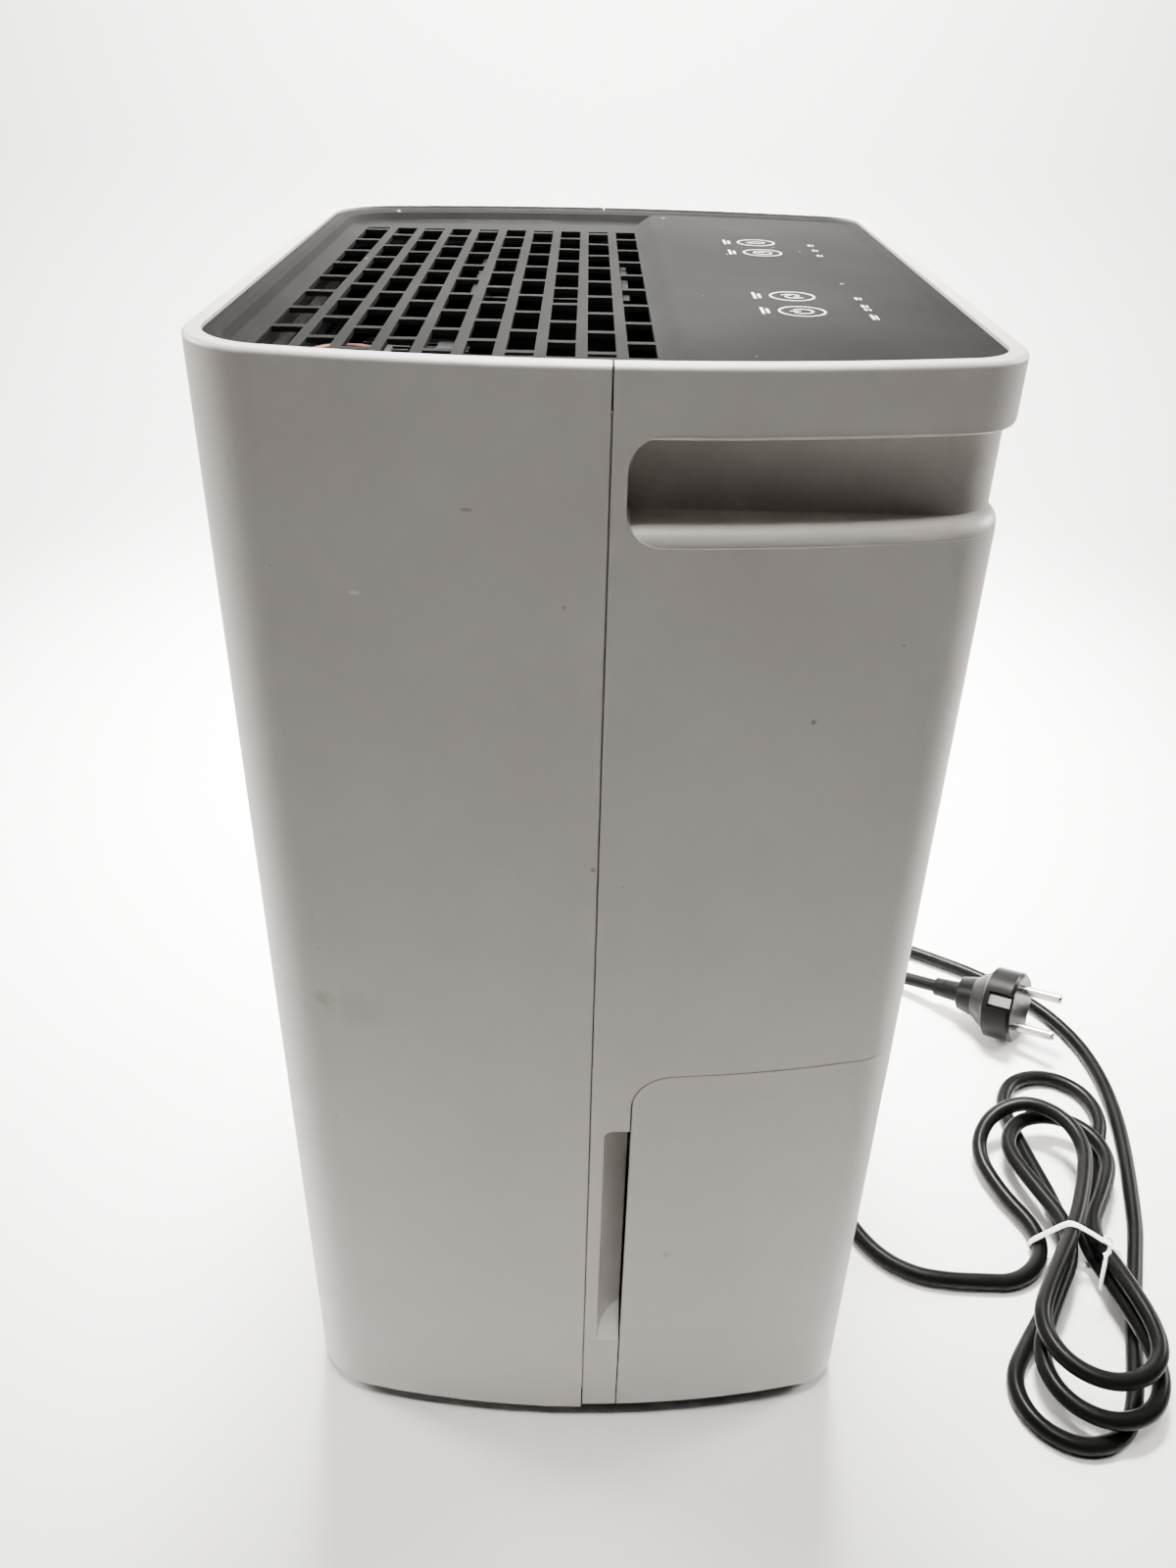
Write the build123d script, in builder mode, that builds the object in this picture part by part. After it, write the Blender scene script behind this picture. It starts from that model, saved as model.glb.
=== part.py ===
"""Compact compressor dehumidifier with a pull-out water tank.

The front of the cabinet faces -Y, the back +Y, and Z points up from the floor.
The origin is on the floor under the middle of the cabinet. Sizes are in millimetres.
"""
import math
import os

import numpy as np
from build123d import *

os.makedirs("parts", exist_ok=True)

# Cabinet: a tall box with bowed sides and rounded corners
WIDTH = 249.0
DEPTH = 200.0
HEIGHT = 389.0
SIDE_BOW = 12.8
FRONT_RADIUS = 18.0
BACK_RADIUS = 26.0
WALL = 2.6
RIM_WIDTH = 4.6
RIM_ROUND = 1.3
REAR_BOTTOM = 6.0
FRONT_BOTTOM = 8.0
SEAM_Y = -2.0
SEAM_GAP = 0.5
LEDGE_BOTTOM = 375.5
LEDGE_TOP = 378.0
LEDGE_INSET = 8.0
FIT = 0.4
SIDE_RADIUS = (DEPTH**2 / 4 + SIDE_BOW**2) / (2 * SIDE_BOW)
REACH = 160.0

# Handle recesses, joined by a shallow band across the front
HANDLE_BOTTOM = 351.5
HANDLE_TOP = 372.5
HANDLE_LIP = 4.0
HANDLE_BROW = 1.0
HANDLE_WALL_X = 109.5
HANDLE_BAND = 1.5
HANDLE_CORNER = 16.0
HANDLE_END_Y = -6.0
HANDLE_END_RADIUS = 9.0
CORE_DEPTH = 20.0
LIP_INSET = 0.15

# Water tank: its cover, the scoops for fingers beside it, the bucket and its lid
TANK_EDGE_Y = -15.0
TANK_TOP = 176.0
TANK_CORNER = 12.0
TANK_GAP = 0.5
SCOOP_BOTTOM = 45.5
SCOOP_RAMP = 62.0
SCOOP_TOP = 153.0
SCOOP_RADIUS = 11.0
SCOOP_DEPTH = 14.0
SCOOP_ROUND = 3.0
SCOOP_END_Y = -4.0
BUCKET_HALF_WIDTH = 108.0
BUCKET_BACK_Y = -22.0
BUCKET_BOTTOM = 10.5
BUCKET_TOP = 160.0
BUCKET_WALL = 2.0
BUCKET_CORNER = 16.0
LID_THICKNESS = 2.5
INLET_HOLE_RADIUS = 14.0
SPOUT_Y = -42.0
SPOUT_RADIUS = 6.0
SPOUT_LENGTH = 10.0

# Float that rises with the water on a pin between two lugs
FLOAT_X = -60.0
PIVOT_Y = -31.0
PIVOT_Z = 142.0
PIVOT_RADIUS = 1.5
PIVOT_PLAY = 0.06
LUG_SPACING = 22.0
LUG_THICKNESS = 3.0
FLOAT_WIDTH = 40.0
FLOAT_DEPTH = 30.0
FLOAT_HEIGHT = 18.0

# Top panel: control deck in front, air outlet grille behind
PANEL_INSET = RIM_WIDTH + 0.2
PANEL_LIP = 0.8
DECK_Z = HEIGHT - 1.6
GRILLE_Z = HEIGHT - 5.2
EDGE_Z = HEIGHT - 1.8
EDGE_INSET = 9.2
EDGE_SLOPE = 58.0
WELL_SLOPE = 35.0
WELL_ROUND = 3.0
FLOOR_INSET = EDGE_INSET + (EDGE_Z - GRILLE_Z) * math.tan(math.radians(WELL_SLOPE))
HOLLOW_INSET = 9.0
CREASE_Y = -20.0
CREASE_RADIUS = 6.0
GRILLE_FRONT_Y = -14.0
GRILLE_BACK_Y = 84.0
COVE_RADIUS = 11.0
PANEL_SKIN = 2.5
GRILLE_PLATE = 1.4
GRILLE_COLUMNS = 10
GRILLE_HALF_LENGTH = 95.5
COLUMN_PITCH = 9.94
FIRST_COLUMN_Y = -9.8
LAST_COLUMN_EXTRA = 1.2
CELL_PITCH = 22.8
CELL_LENGTH = 20.0
CELL_WIDTH = 7.0

# Touch board under the deck
BOARD_Z = 376.6
BOARD_Y = -60.0
BOARD_WIDTH = 190.0
BOARD_DEPTH = 52.0
BOARD_THICKNESS = 1.6
KEY_Y = -53.0
KEY_XS = (-55.5, -35.5, 35.5, 55.5)
LAMP_Y = -71.0
LAMP_XS = (-61.0, -49.0, -37.0, 32.0, 42.0, 52.0)

# Air inlet in the back, with its grille and filter
INLET_HALF_WIDTH = 92.0
INLET_BOTTOM = 172.0
INLET_TOP = 362.0
INLET_HEIGHT = INLET_TOP - INLET_BOTTOM
INLET_Z = (INLET_TOP + INLET_BOTTOM) / 2
INLET_RADIUS = 8.0
SEAT_WIDTH = 5.0
SEAT_HALF_WIDTH = INLET_HALF_WIDTH - SEAT_WIDTH
SEAT_BACK_Y = 93.4
SEAT_FRONT_Y = 96.4
LOUVRE_ROWS = 20
LOUVRE_COLUMNS = 4
LOUVRE_PITCH = 9.0
LOUVRE_WIDTH = 39.0
LOUVRE_HEIGHT = 6.0
FILTER_FRAME = 4.0
FILTER_DEPTH = 4.0
MESH_THICKNESS = 0.5
SCREW_PLACES = ((-80.0, 24.0), (80.0, 24.0), (-80.0, 150.0), (80.0, 150.0))
SCREW_RADIUS = 1.9
SCREW_HEAD_RADIUS = 3.8
SCREW_HEAD_DEPTH = 1.8
BOSS_RADIUS = 5.5

# Base, feet, inner frame, power board and drip tray
BASE_BOTTOM = 3.0
BASE_TOP = 9.0
FOOT_X = 86.0
FOOT_Y = 68.0
FOOT_RADIUS = 9.0
FRAME_Y = -12.5
SHELF_Z = 177.0
SHELF_THICKNESS = 2.5
POWER_X = -60.0
POWER_Y = -70.0
POWER_Z = 185.5
POWER_WIDTH = 84.0
POWER_DEPTH = 46.0
POWER_PARTS = ((-26, 10, 20, 16, 16), (0, 10, 22, 20, 20), (-24, -12, 24, 8, 12), (4, -14, 20, 3, 26))
TRAY_Y = 66.0
TRAY_DEPTH = 48.0
TRAY_HALF_WIDTH = 98.0
TRAY_HEIGHT = 9.0
TRAY_FLOOR = SHELF_Z + SHELF_THICKNESS + WALL
CHANNEL_WIDTH = 20.0
PIPE_NOTCH_X = 99.0
PIPE_NOTCH_Y = 60.0

# Cooling coils and pipes
COIL_HALF_WIDTH = 88.0
COIL_BOTTOM = 192.0
COIL_TOP = 346.0
COIL_DEPTH = 18.0
EVAPORATOR_Y = 78.0
CONDENSER_Y = 56.0
FIN_PITCH = 5.5
FIN_GAP = 4.0
FIN_GROOVE = 6.0
END_PLATE = 2.0
RETURN_BENDS = 3
BEND_RADIUS = 10.0
BEND_PITCH = 44.0
PIPE_RADIUS = 3.5
CAPILLARY_RADIUS = 1.6
CAPILLARY_TURNS = 2
CAPILLARY_COIL = 15.0
CAPILLARY_X = -38.0
CAPILLARY_PITCH = 4.2

# Fan: a drum of curved blades in a scroll that blows up through the grille
FAN_Z = 283.0
FAN_RADIUS = 62.0
FAN_FRONT_Y = -4.0
FAN_LENGTH = 40.0
FAN_DISC = 2.0
HUB_RADIUS = 9.0
BLADES = 30
BLADE_ROOT = 52.0
BLADE_THICKNESS = 1.2
BLADE_SWEEP = 12.0
SHAFT_RADIUS = 3.0
SHAFT_PLAY = 0.05
SCROLL_FRONT_Y = -10.0
SCROLL_BACK_Y = 42.0
SCROLL_START = 70.0
SCROLL_FIRST_RADIUS = 68.0
SCROLL_LAST_RADIUS = 96.0
SCROLL_TOP = 374.0
SCROLL_WALL = 2.0
SCROLL_INLET = 50.0
MOTOR_RADIUS = 28.0
MOTOR_LENGTH = 36.0

# Compressor, standing on rubber mounts
COMPRESSOR_X = 30.0
COMPRESSOR_Y = 43.0
COMPRESSOR_RADIUS = 44.0
COMPRESSOR_BOTTOM = 20.0
COMPRESSOR_TOP = 160.0
COMPRESSOR_DOME = 16.0
MOUNT_CIRCLE = 48.0
MOUNT_RADIUS = 6.5
MOUNT_TOP = 18.0
DISCHARGE_Y = 25.0
ACCUMULATOR_X = 97.0
ACCUMULATOR_Y = 50.0
ACCUMULATOR_RADIUS = 15.0
ACCUMULATOR_BOTTOM = 62.0
ACCUMULATOR_TOP = 148.0
ELBOW_Z = 45.0
CAPACITOR_X = -70.0
CAPACITOR_Y = 58.0
CAPACITOR_RADIUS = 17.0
CAPACITOR_HEIGHT = 72.0

# Mains lead: where it leaves the cabinet, and how it lies on the floor
CORD_DIAMETER = 6.8
CORD_RADIUS = CORD_DIAMETER / 2
GLAND_Y = 40.0
GLAND_Z = 32.0
GLAND_RADIUS = 7.5
GLAND_ROOT_X = 112.0
GLAND_TIP_X = 150.0
LEAD_ROUTE = [
    (150, 40, 32), (168, 40, 32), (187, 33, 25), (201, 16, 14), (206, -12, 6),
    (204, -46, 3.6), (195, -84, 3.6), (183, -122, 3.6), (167, -158, 3.6), (149, -191, 3.6),
    (130, -221, 3.6), (107, -244.5, 3.6), (80, -257.5, 3.6), (52, -261, 3.6), (24, -258.8, 3.6),
    (-3, -253.2, 3.6), (-28, -246.8, 3.6),
]
LEAD_RUN = 14.0
HANK_X = -50.0
HANK_Y = -214.0
HANK_TURN = math.radians(-9.8)
HANK_RADIUS = 21.6
HANK_STEP = 7.7
HANK_SLOT = 3.6
HANK_LIFT = 1.4
WAIST_RADIUS = 36.0
TAIL_RUN = 12.0
TAIL_ROUTE = [
    (-62.5, -142.5, 3.6), (-54.5, -129.5, 3.6), (-40.5, -120.2, 3.6), (-21, -113.8, 3.6),
    (5, -110, 3.6), (34, -108.5, 3.6), (64, -110.5, 3.6), (87, -114.5, 3.6),
    (106.5, -122.5, 3.6), (120.5, -134.5, 4), (127.5, -150.5, 5.4),
]
PLUG_RUN = 26.0
PLUG_END = (112.0, -190.0, 12.3)
PLUG_FACE = (86.0, -226.0, 20.7)
PLUG_RADIUS = 18.2
PIN_RADIUS = 2.4
PIN_LENGTH = 19.0
PIN_SPACING = 19.0
PIN_TILT = 50.0
TIE_WIDTH = 3.5
TIE_THICKNESS = 0.8
TIE_PLAY = 0.3


def fan_plane(y):
    """Plane across the fan's axis at a place along it, facing the back."""
    return Plane(origin=(0, y, FAN_Z), x_dir=(1, 0, 0), z_dir=(0, 1, 0))


def body_plan(inset, height):
    """Plan of the cabinet at a height, drawn in by an inset on every side."""
    half_depth = DEPTH / 2 - inset
    side_x = WIDTH / 2 - inset
    bow = SIDE_RADIUS - inset
    corner_x = side_x - bow + math.sqrt(bow**2 - half_depth**2)
    with BuildSketch(Plane.XY.offset(height)) as plan:
        with BuildLine():
            Line((-corner_x, -half_depth), (corner_x, -half_depth))
            ThreePointArc((corner_x, -half_depth), (side_x, 0), (corner_x, half_depth))
            Line((corner_x, half_depth), (-corner_x, half_depth))
            ThreePointArc((-corner_x, half_depth), (-side_x, 0), (-corner_x, -half_depth))
        make_face()
        fillet(plan.vertices().group_by(Axis.Y)[0], FRONT_RADIUS - inset)
        fillet(plan.vertices().group_by(Axis.Y)[-1], BACK_RADIUS - inset)
    return plan.sketch


def handle_plan(inset, height):
    """Plan of what stays solid behind the handle recesses."""
    front_y = -DEPTH / 2 + HANDLE_BAND + inset
    with BuildSketch(Plane.XY.offset(height)) as plan:
        with Locations((0, front_y + REACH / 2)):
            Rectangle(2 * (HANDLE_WALL_X - inset), REACH)
        fillet(plan.vertices().group_by(Axis.Y)[0], HANDLE_CORNER - inset)
    return plan.sketch


def tank_side(edge_y, top, bottom, radius):
    """Side view of the tank's cover, with its one rounded corner."""
    with BuildSketch(Plane.YZ) as side:
        with BuildLine():
            Polyline((-REACH, bottom), (edge_y, bottom), (edge_y, top), (-REACH, top), close=True)
        make_face()
        fillet(side.vertices().sort_by_distance((edge_y, top))[0], radius)
    return side.sketch


# Cabinet shell before it is divided into its rear and front mouldings
with BuildPart() as cabinet:
    extrude(body_plan(0, REAR_BOTTOM), amount=HEIGHT - REAR_BOTTOM)
    fillet(cabinet.edges().group_by(Axis.Z)[-1], RIM_ROUND)
    extrude(body_plan(WALL, REAR_BOTTOM), amount=LEDGE_BOTTOM - REAR_BOTTOM, mode=Mode.SUBTRACT)
    extrude(body_plan(LEDGE_INSET, LEDGE_BOTTOM), amount=LEDGE_TOP - LEDGE_BOTTOM, mode=Mode.SUBTRACT)
    extrude(body_plan(RIM_WIDTH, LEDGE_TOP), amount=HEIGHT - LEDGE_TOP, mode=Mode.SUBTRACT)

# Rear moulding: air inlet with a seat for its grille, screw bosses and the lead's hole
with BuildPart() as rear_housing:
    add(cabinet.part)
    split(bisect_by=Plane.XZ.offset(-SEAM_Y - SEAM_GAP / 2), keep=Keep.BOTTOM)
    with BuildSketch(Plane.XZ.offset(-SEAT_BACK_Y)):
        with Locations((0, INLET_Z)):
            RectangleRounded(2 * INLET_HALF_WIDTH + 10, INLET_HEIGHT + 10, INLET_RADIUS)
        with Locations(*SCREW_PLACES):
            Circle(BOSS_RADIUS)
    extrude(amount=-(DEPTH / 2 - WALL / 2 - SEAT_BACK_Y))
    with BuildSketch(Plane.XZ.offset(-SEAT_FRONT_Y)):
        with Locations((0, INLET_Z)):
            RectangleRounded(2 * INLET_HALF_WIDTH, INLET_HEIGHT, INLET_RADIUS)
    extrude(amount=-REACH, mode=Mode.SUBTRACT)
    with BuildSketch(Plane.XZ.offset(-SEAT_BACK_Y)):
        with Locations((0, INLET_Z)):
            RectangleRounded(2 * SEAT_HALF_WIDTH, INLET_HEIGHT - 2 * SEAT_WIDTH, INLET_RADIUS - 3)
    extrude(amount=-REACH, mode=Mode.SUBTRACT)
    with BuildSketch(Plane.XZ.offset(-DEPTH / 2)):
        with Locations(*SCREW_PLACES):
            Circle(SCREW_HEAD_RADIUS + 0.3)
    extrude(amount=SCREW_HEAD_DEPTH, mode=Mode.SUBTRACT)
    with BuildSketch(Plane.XZ.offset(-DEPTH / 2)):
        with Locations(*SCREW_PLACES):
            Circle(SCREW_RADIUS + 0.05)
    extrude(amount=DEPTH / 2 - SEAT_BACK_Y, mode=Mode.SUBTRACT)
    with BuildSketch(Plane.YZ.offset(GLAND_ROOT_X)):
        with Locations((GLAND_Y, GLAND_Z)):
            Circle(GLAND_RADIUS + 0.2)
    extrude(amount=REACH, mode=Mode.SUBTRACT)

with BuildPart() as housing_screws:
    with BuildSketch(Plane.XZ.offset(-DEPTH / 2)):
        with Locations(*SCREW_PLACES):
            Circle(SCREW_RADIUS)
    extrude(amount=DEPTH / 2 - SEAT_BACK_Y)
    with BuildSketch(Plane.XZ.offset(-DEPTH / 2 + SCREW_HEAD_DEPTH)):
        with Locations(*SCREW_PLACES):
            Circle(SCREW_HEAD_RADIUS)
    extrude(amount=-SCREW_HEAD_DEPTH * 0.8)

# What the handle recesses leave standing: the lip below them is rounded over
with BuildPart() as handle_core:
    extrude(body_plan(LIP_INSET, HANDLE_BOTTOM - CORE_DEPTH), amount=CORE_DEPTH)
    fillet(handle_core.edges().group_by(Axis.Z)[-1], HANDLE_LIP)
    extrude(handle_plan(0, HANDLE_BOTTOM - CORE_DEPTH), amount=3 * CORE_DEPTH)

# The brow above them has a small round along its lower edge
with BuildPart() as handle_brow:
    extrude(body_plan(LIP_INSET, HANDLE_TOP), amount=CORE_DEPTH)
    fillet(handle_brow.edges().group_by(Axis.Z)[0], HANDLE_BROW)

with BuildPart() as handle_recess:
    with BuildSketch(Plane.YZ) as opening:
        with BuildLine():
            low = HANDLE_BOTTOM - HANDLE_LIP - 0.5
            high = HANDLE_TOP + HANDLE_BROW + 0.4
            Polyline((-REACH, low), (HANDLE_END_Y, low), (HANDLE_END_Y, high), (-REACH, high), close=True)
        make_face()
        fillet(opening.vertices().group_by(Axis.X)[-1], HANDLE_END_RADIUS)
    extrude(amount=REACH, both=True)
    add(handle_core.part, mode=Mode.SUBTRACT)
    add(handle_brow.part, mode=Mode.SUBTRACT)

# Moulded walls behind the recesses
with BuildPart() as handle_walls:
    extrude(body_plan(WALL / 2, HANDLE_BOTTOM - HANDLE_LIP - WALL), amount=LEDGE_BOTTOM - HANDLE_BOTTOM + HANDLE_LIP + WALL + 1)
    extrude(handle_plan(WALL, HANDLE_BOTTOM - 2 * CORE_DEPTH), amount=4 * CORE_DEPTH, mode=Mode.SUBTRACT)
    split(bisect_by=Plane.XZ.offset(-HANDLE_END_Y - WALL), keep=Keep.TOP)

# Scoops beside the tank that let fingers reach behind its cover, and the walls around them
with BuildPart() as finger_scoops:
    with BuildSketch(Plane.XY.offset(SCOOP_BOTTOM)):
        with Locations(*[(side * (WIDTH / 2 + 1), TANK_EDGE_Y - 2.5) for side in (-1, 1)]):
            Circle(SCOOP_RADIUS)
    extrude(amount=SCOOP_TOP - SCOOP_BOTTOM)
    fillet(finger_scoops.edges().group_by(Axis.Z)[-1], SCOOP_ROUND)
    with BuildSketch(Plane.XZ):
        with BuildLine():
            foot = (WIDTH / 2 + 1, SCOOP_BOTTOM)
            Polyline(foot, (WIDTH / 2 - SCOOP_DEPTH, SCOOP_BOTTOM), (WIDTH / 2 - SCOOP_DEPTH, SCOOP_RAMP), close=True)
        make_face()
        mirror(about=Plane.YZ)
    extrude(amount=REACH, mode=Mode.SUBTRACT)

with BuildPart() as scoop_walls:
    extrude(body_plan(WALL / 2, SCOOP_BOTTOM - WALL), amount=SCOOP_TOP - SCOOP_BOTTOM + 2 * WALL)
    extrude(body_plan(SCOOP_DEPTH, SCOOP_BOTTOM - WALL), amount=SCOOP_TOP, mode=Mode.SUBTRACT)
    with Locations((0, (SCOOP_END_Y + TANK_EDGE_Y + TANK_GAP) / 2, HEIGHT / 2)):
        Box(2 * REACH, SCOOP_END_Y - TANK_EDGE_Y - TANK_GAP, HEIGHT, mode=Mode.INTERSECT)

# Front moulding: cut away below for the tank
with BuildPart() as front_housing:
    add(cabinet.part)
    split(bisect_by=Plane.XZ.offset(-SEAM_Y + SEAM_GAP / 2), keep=Keep.TOP)
    add(handle_walls.part)
    add(scoop_walls.part)
    add(handle_recess.part, mode=Mode.SUBTRACT)
    add(finger_scoops.part, mode=Mode.SUBTRACT)
    extrude(
        tank_side(TANK_EDGE_Y + TANK_GAP, TANK_TOP + TANK_GAP, -1, TANK_CORNER + TANK_GAP),
        amount=REACH, both=True, mode=Mode.SUBTRACT,
    )
    with Locations((0, 0, FRONT_BOTTOM / 2)):
        Box(2 * REACH, 2 * REACH, FRONT_BOTTOM, mode=Mode.SUBTRACT)

# Well sunk in the top panel: a flat deck in front, and the lower grille floor behind it
with BuildPart() as panel_well:
    extrude(body_plan(FLOOR_INSET, GRILLE_Z), amount=EDGE_Z - GRILLE_Z, taper=-WELL_SLOPE)
    fillet(panel_well.edges().group_by(Axis.Z)[0], WELL_ROUND)
    extrude(body_plan(EDGE_INSET, EDGE_Z), amount=HEIGHT - EDGE_Z, taper=-EDGE_SLOPE)
    with BuildSketch(Plane.YZ) as well_side:
        with BuildLine():
            Polyline((-REACH, DECK_Z), (CREASE_Y, DECK_Z), (GRILLE_FRONT_Y, GRILLE_Z), (GRILLE_BACK_Y, GRILLE_Z))
            cove_end = (GRILLE_BACK_Y + COVE_RADIUS, GRILLE_Z + COVE_RADIUS)
            RadiusArc((GRILLE_BACK_Y, GRILLE_Z), cove_end, -COVE_RADIUS)
            Polyline(cove_end, (-REACH, cove_end[1]), (-REACH, DECK_Z))
        make_face()
        fillet(well_side.vertices().sort_by_distance((CREASE_Y, DECK_Z))[0], CREASE_RADIUS)
        fillet(well_side.vertices().sort_by_distance((GRILLE_FRONT_Y, GRILLE_Z))[0], CREASE_RADIUS / 2)
    extrude(amount=REACH, both=True, mode=Mode.INTERSECT)

with BuildPart() as panel_hollow:
    extrude(body_plan(HOLLOW_INSET, LEDGE_TOP), amount=DECK_Z - PANEL_SKIN - LEDGE_TOP)
    split(bisect_by=Plane.XZ.offset(1 - CREASE_Y), keep=Keep.TOP)
    extrude(body_plan(HOLLOW_INSET, LEDGE_TOP), amount=GRILLE_Z - GRILLE_PLATE - LEDGE_TOP)

# Top panel: flat ring, control deck and an air outlet grille laid like brickwork in a coved well
with BuildPart() as top_panel:
    extrude(body_plan(PANEL_INSET, LEDGE_TOP), amount=HEIGHT - PANEL_LIP - LEDGE_TOP)
    add(panel_well.part, mode=Mode.SUBTRACT)
    add(panel_hollow.part, mode=Mode.SUBTRACT)
    with BuildSketch(Plane.XY.offset(LEDGE_TOP)):
        for column in range(GRILLE_COLUMNS):
            extra = LAST_COLUMN_EXTRA * (column == GRILLE_COLUMNS - 1)
            with Locations((0, FIRST_COLUMN_Y + column * COLUMN_PITCH + extra / 2)):
                with GridLocations(CELL_PITCH, COLUMN_PITCH, 9 + column % 2, 1):
                    Rectangle(CELL_LENGTH, CELL_WIDTH + extra)
        Rectangle(2 * GRILLE_HALF_LENGTH, DEPTH, mode=Mode.INTERSECT)
    extrude(amount=HEIGHT - LEDGE_TOP, mode=Mode.SUBTRACT)
    with BuildSketch(Plane.XY.offset(BOARD_Z)):
        with Locations((0, BOARD_Y)):
            with GridLocations(BOARD_WIDTH - 10, BOARD_DEPTH - 10, 2, 2):
                Circle(2.5)
    extrude(amount=DECK_Z - PANEL_SKIN - BOARD_Z)

# Touch board under the deck: sensing springs and a row of lamps face the deck
with BuildPart() as touch_board:
    with BuildSketch(Plane.XY.offset(BOARD_Z)):
        with Locations((0, BOARD_Y)):
            Rectangle(BOARD_WIDTH, BOARD_DEPTH)
    extrude(amount=-BOARD_THICKNESS)
    with BuildSketch(Plane.XY.offset(BOARD_Z)):
        with Locations(*[(x, KEY_Y) for x in KEY_XS]):
            Circle(5.0)
            Circle(3.8, mode=Mode.SUBTRACT)
        with Locations(*[(x, LAMP_Y) for x in LAMP_XS]):
            Rectangle(3, 3)
    extrude(amount=DECK_Z - PANEL_SKIN - BOARD_Z - 0.3)

# Base pan with a skirt, and its rubber feet
with BuildPart() as base_pan:
    extrude(body_plan(WALL + FIT, BASE_BOTTOM), amount=BASE_TOP - BASE_BOTTOM)
    extrude(body_plan(2 * WALL + FIT, BASE_BOTTOM), amount=BASE_TOP - WALL - BASE_BOTTOM, mode=Mode.SUBTRACT)
    with BuildSketch(Plane.XY.offset(BASE_BOTTOM)):
        with GridLocations(2 * FOOT_X, 2 * FOOT_Y, 2, 2):
            Circle(FOOT_RADIUS + 2)
        with GridLocations(0, 2 * FOOT_Y, 1, 2):
            Rectangle(2 * FOOT_X, WALL)
        with GridLocations(2 * FOOT_X, 0, 2, 1):
            Rectangle(WALL, 2 * FOOT_Y)
    extrude(amount=BASE_TOP - WALL - BASE_BOTTOM)

with BuildPart() as rubber_feet:
    with BuildSketch():
        with GridLocations(2 * FOOT_X, 2 * FOOT_Y, 2, 2):
            Circle(FOOT_RADIUS)
    extrude(amount=BASE_BOTTOM)
    chamfer(rubber_feet.edges().group_by(Axis.Z)[0], 0.8)

# Inner frame: the wall behind the tank, the shelf over it and pegs for the power board
with BuildPart() as inner_frame:
    extrude(body_plan(WALL + FIT, SHELF_Z), amount=SHELF_THICKNESS)
    split(bisect_by=Plane.XZ.offset(-SEAT_BACK_Y + 2.4), keep=Keep.TOP)
    with Locations((PIPE_NOTCH_X + 20, PIPE_NOTCH_Y, SHELF_Z)):
        Box(40, 80, 10, mode=Mode.SUBTRACT)
    with BuildSketch(Plane.XY.offset(BASE_TOP)):
        with Locations((0, FRAME_Y)):
            Rectangle(2 * BUCKET_HALF_WIDTH, WALL)
        with Locations((0, FRAME_Y + 3 * WALL)):
            with GridLocations(1.5 * BUCKET_HALF_WIDTH, 1, 2, 1):
                Rectangle(WALL, 5 * WALL)
    extrude(amount=SHELF_Z + SHELF_THICKNESS - BASE_TOP)
    with BuildSketch(Plane.XY.offset(SHELF_Z)):
        with Locations((0, SPOUT_Y)):
            Circle(SPOUT_RADIUS + 1)
    extrude(amount=SHELF_THICKNESS, mode=Mode.SUBTRACT)
    with BuildSketch(Plane.XY.offset(SHELF_Z)):
        with Locations((POWER_X, POWER_Y)):
            with GridLocations(POWER_WIDTH - 10, POWER_DEPTH - 10, 2, 2):
                Circle(3)
    extrude(amount=POWER_Z - SHELF_Z)

# Power board: relay, transformer, capacitors, terminals and a heat sink
with BuildPart() as power_board:
    with BuildSketch(Plane.XY.offset(POWER_Z)):
        with Locations((POWER_X, POWER_Y)):
            Rectangle(POWER_WIDTH, POWER_DEPTH)
    extrude(amount=BOARD_THICKNESS)
    for x, y, width, depth, height in POWER_PARTS:
        with BuildSketch(Plane.XY.offset(POWER_Z + BOARD_THICKNESS)):
            with Locations((POWER_X + x, POWER_Y + y)):
                Rectangle(width, depth)
        extrude(amount=height)
    with BuildSketch(Plane.XY.offset(POWER_Z + BOARD_THICKNESS)):
        with Locations((POWER_X + 28, POWER_Y - 8), (POWER_X + 28, POWER_Y + 9)):
            Circle(6)
    extrude(amount=22)

# Drip tray under the coils, with a channel forward to the spout over the tank
with BuildPart() as drip_tray:
    tray_z = SHELF_Z + SHELF_THICKNESS
    with BuildSketch(Plane.XY.offset(tray_z)):
        with Locations((0, TRAY_Y)):
            Rectangle(2 * TRAY_HALF_WIDTH, TRAY_DEPTH)
        with Locations((0, (TRAY_Y + SPOUT_Y) / 2 - SPOUT_RADIUS)):
            Rectangle(CHANNEL_WIDTH, TRAY_Y - SPOUT_Y)
    extrude(amount=TRAY_HEIGHT)
    with BuildSketch(Plane.XY.offset(tray_z + WALL)):
        with Locations((0, TRAY_Y)):
            Rectangle(2 * (TRAY_HALF_WIDTH - WALL), TRAY_DEPTH - 2 * WALL)
        with Locations((0, (TRAY_Y + SPOUT_Y) / 2 - SPOUT_RADIUS + WALL)):
            Rectangle(CHANNEL_WIDTH - 2 * WALL, TRAY_Y - SPOUT_Y)
    extrude(amount=TRAY_HEIGHT, mode=Mode.SUBTRACT)
    with BuildSketch(Plane.XY.offset(tray_z)):
        with Locations((0, SPOUT_Y)):
            Circle(SPOUT_RADIUS)
    extrude(amount=-SPOUT_LENGTH)
    with BuildSketch(Plane.XY.offset(tray_z - SPOUT_LENGTH)):
        with Locations((0, SPOUT_Y)):
            Circle(SPOUT_RADIUS - 1.5)
    extrude(amount=SPOUT_LENGTH + TRAY_HEIGHT, mode=Mode.SUBTRACT)


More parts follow.
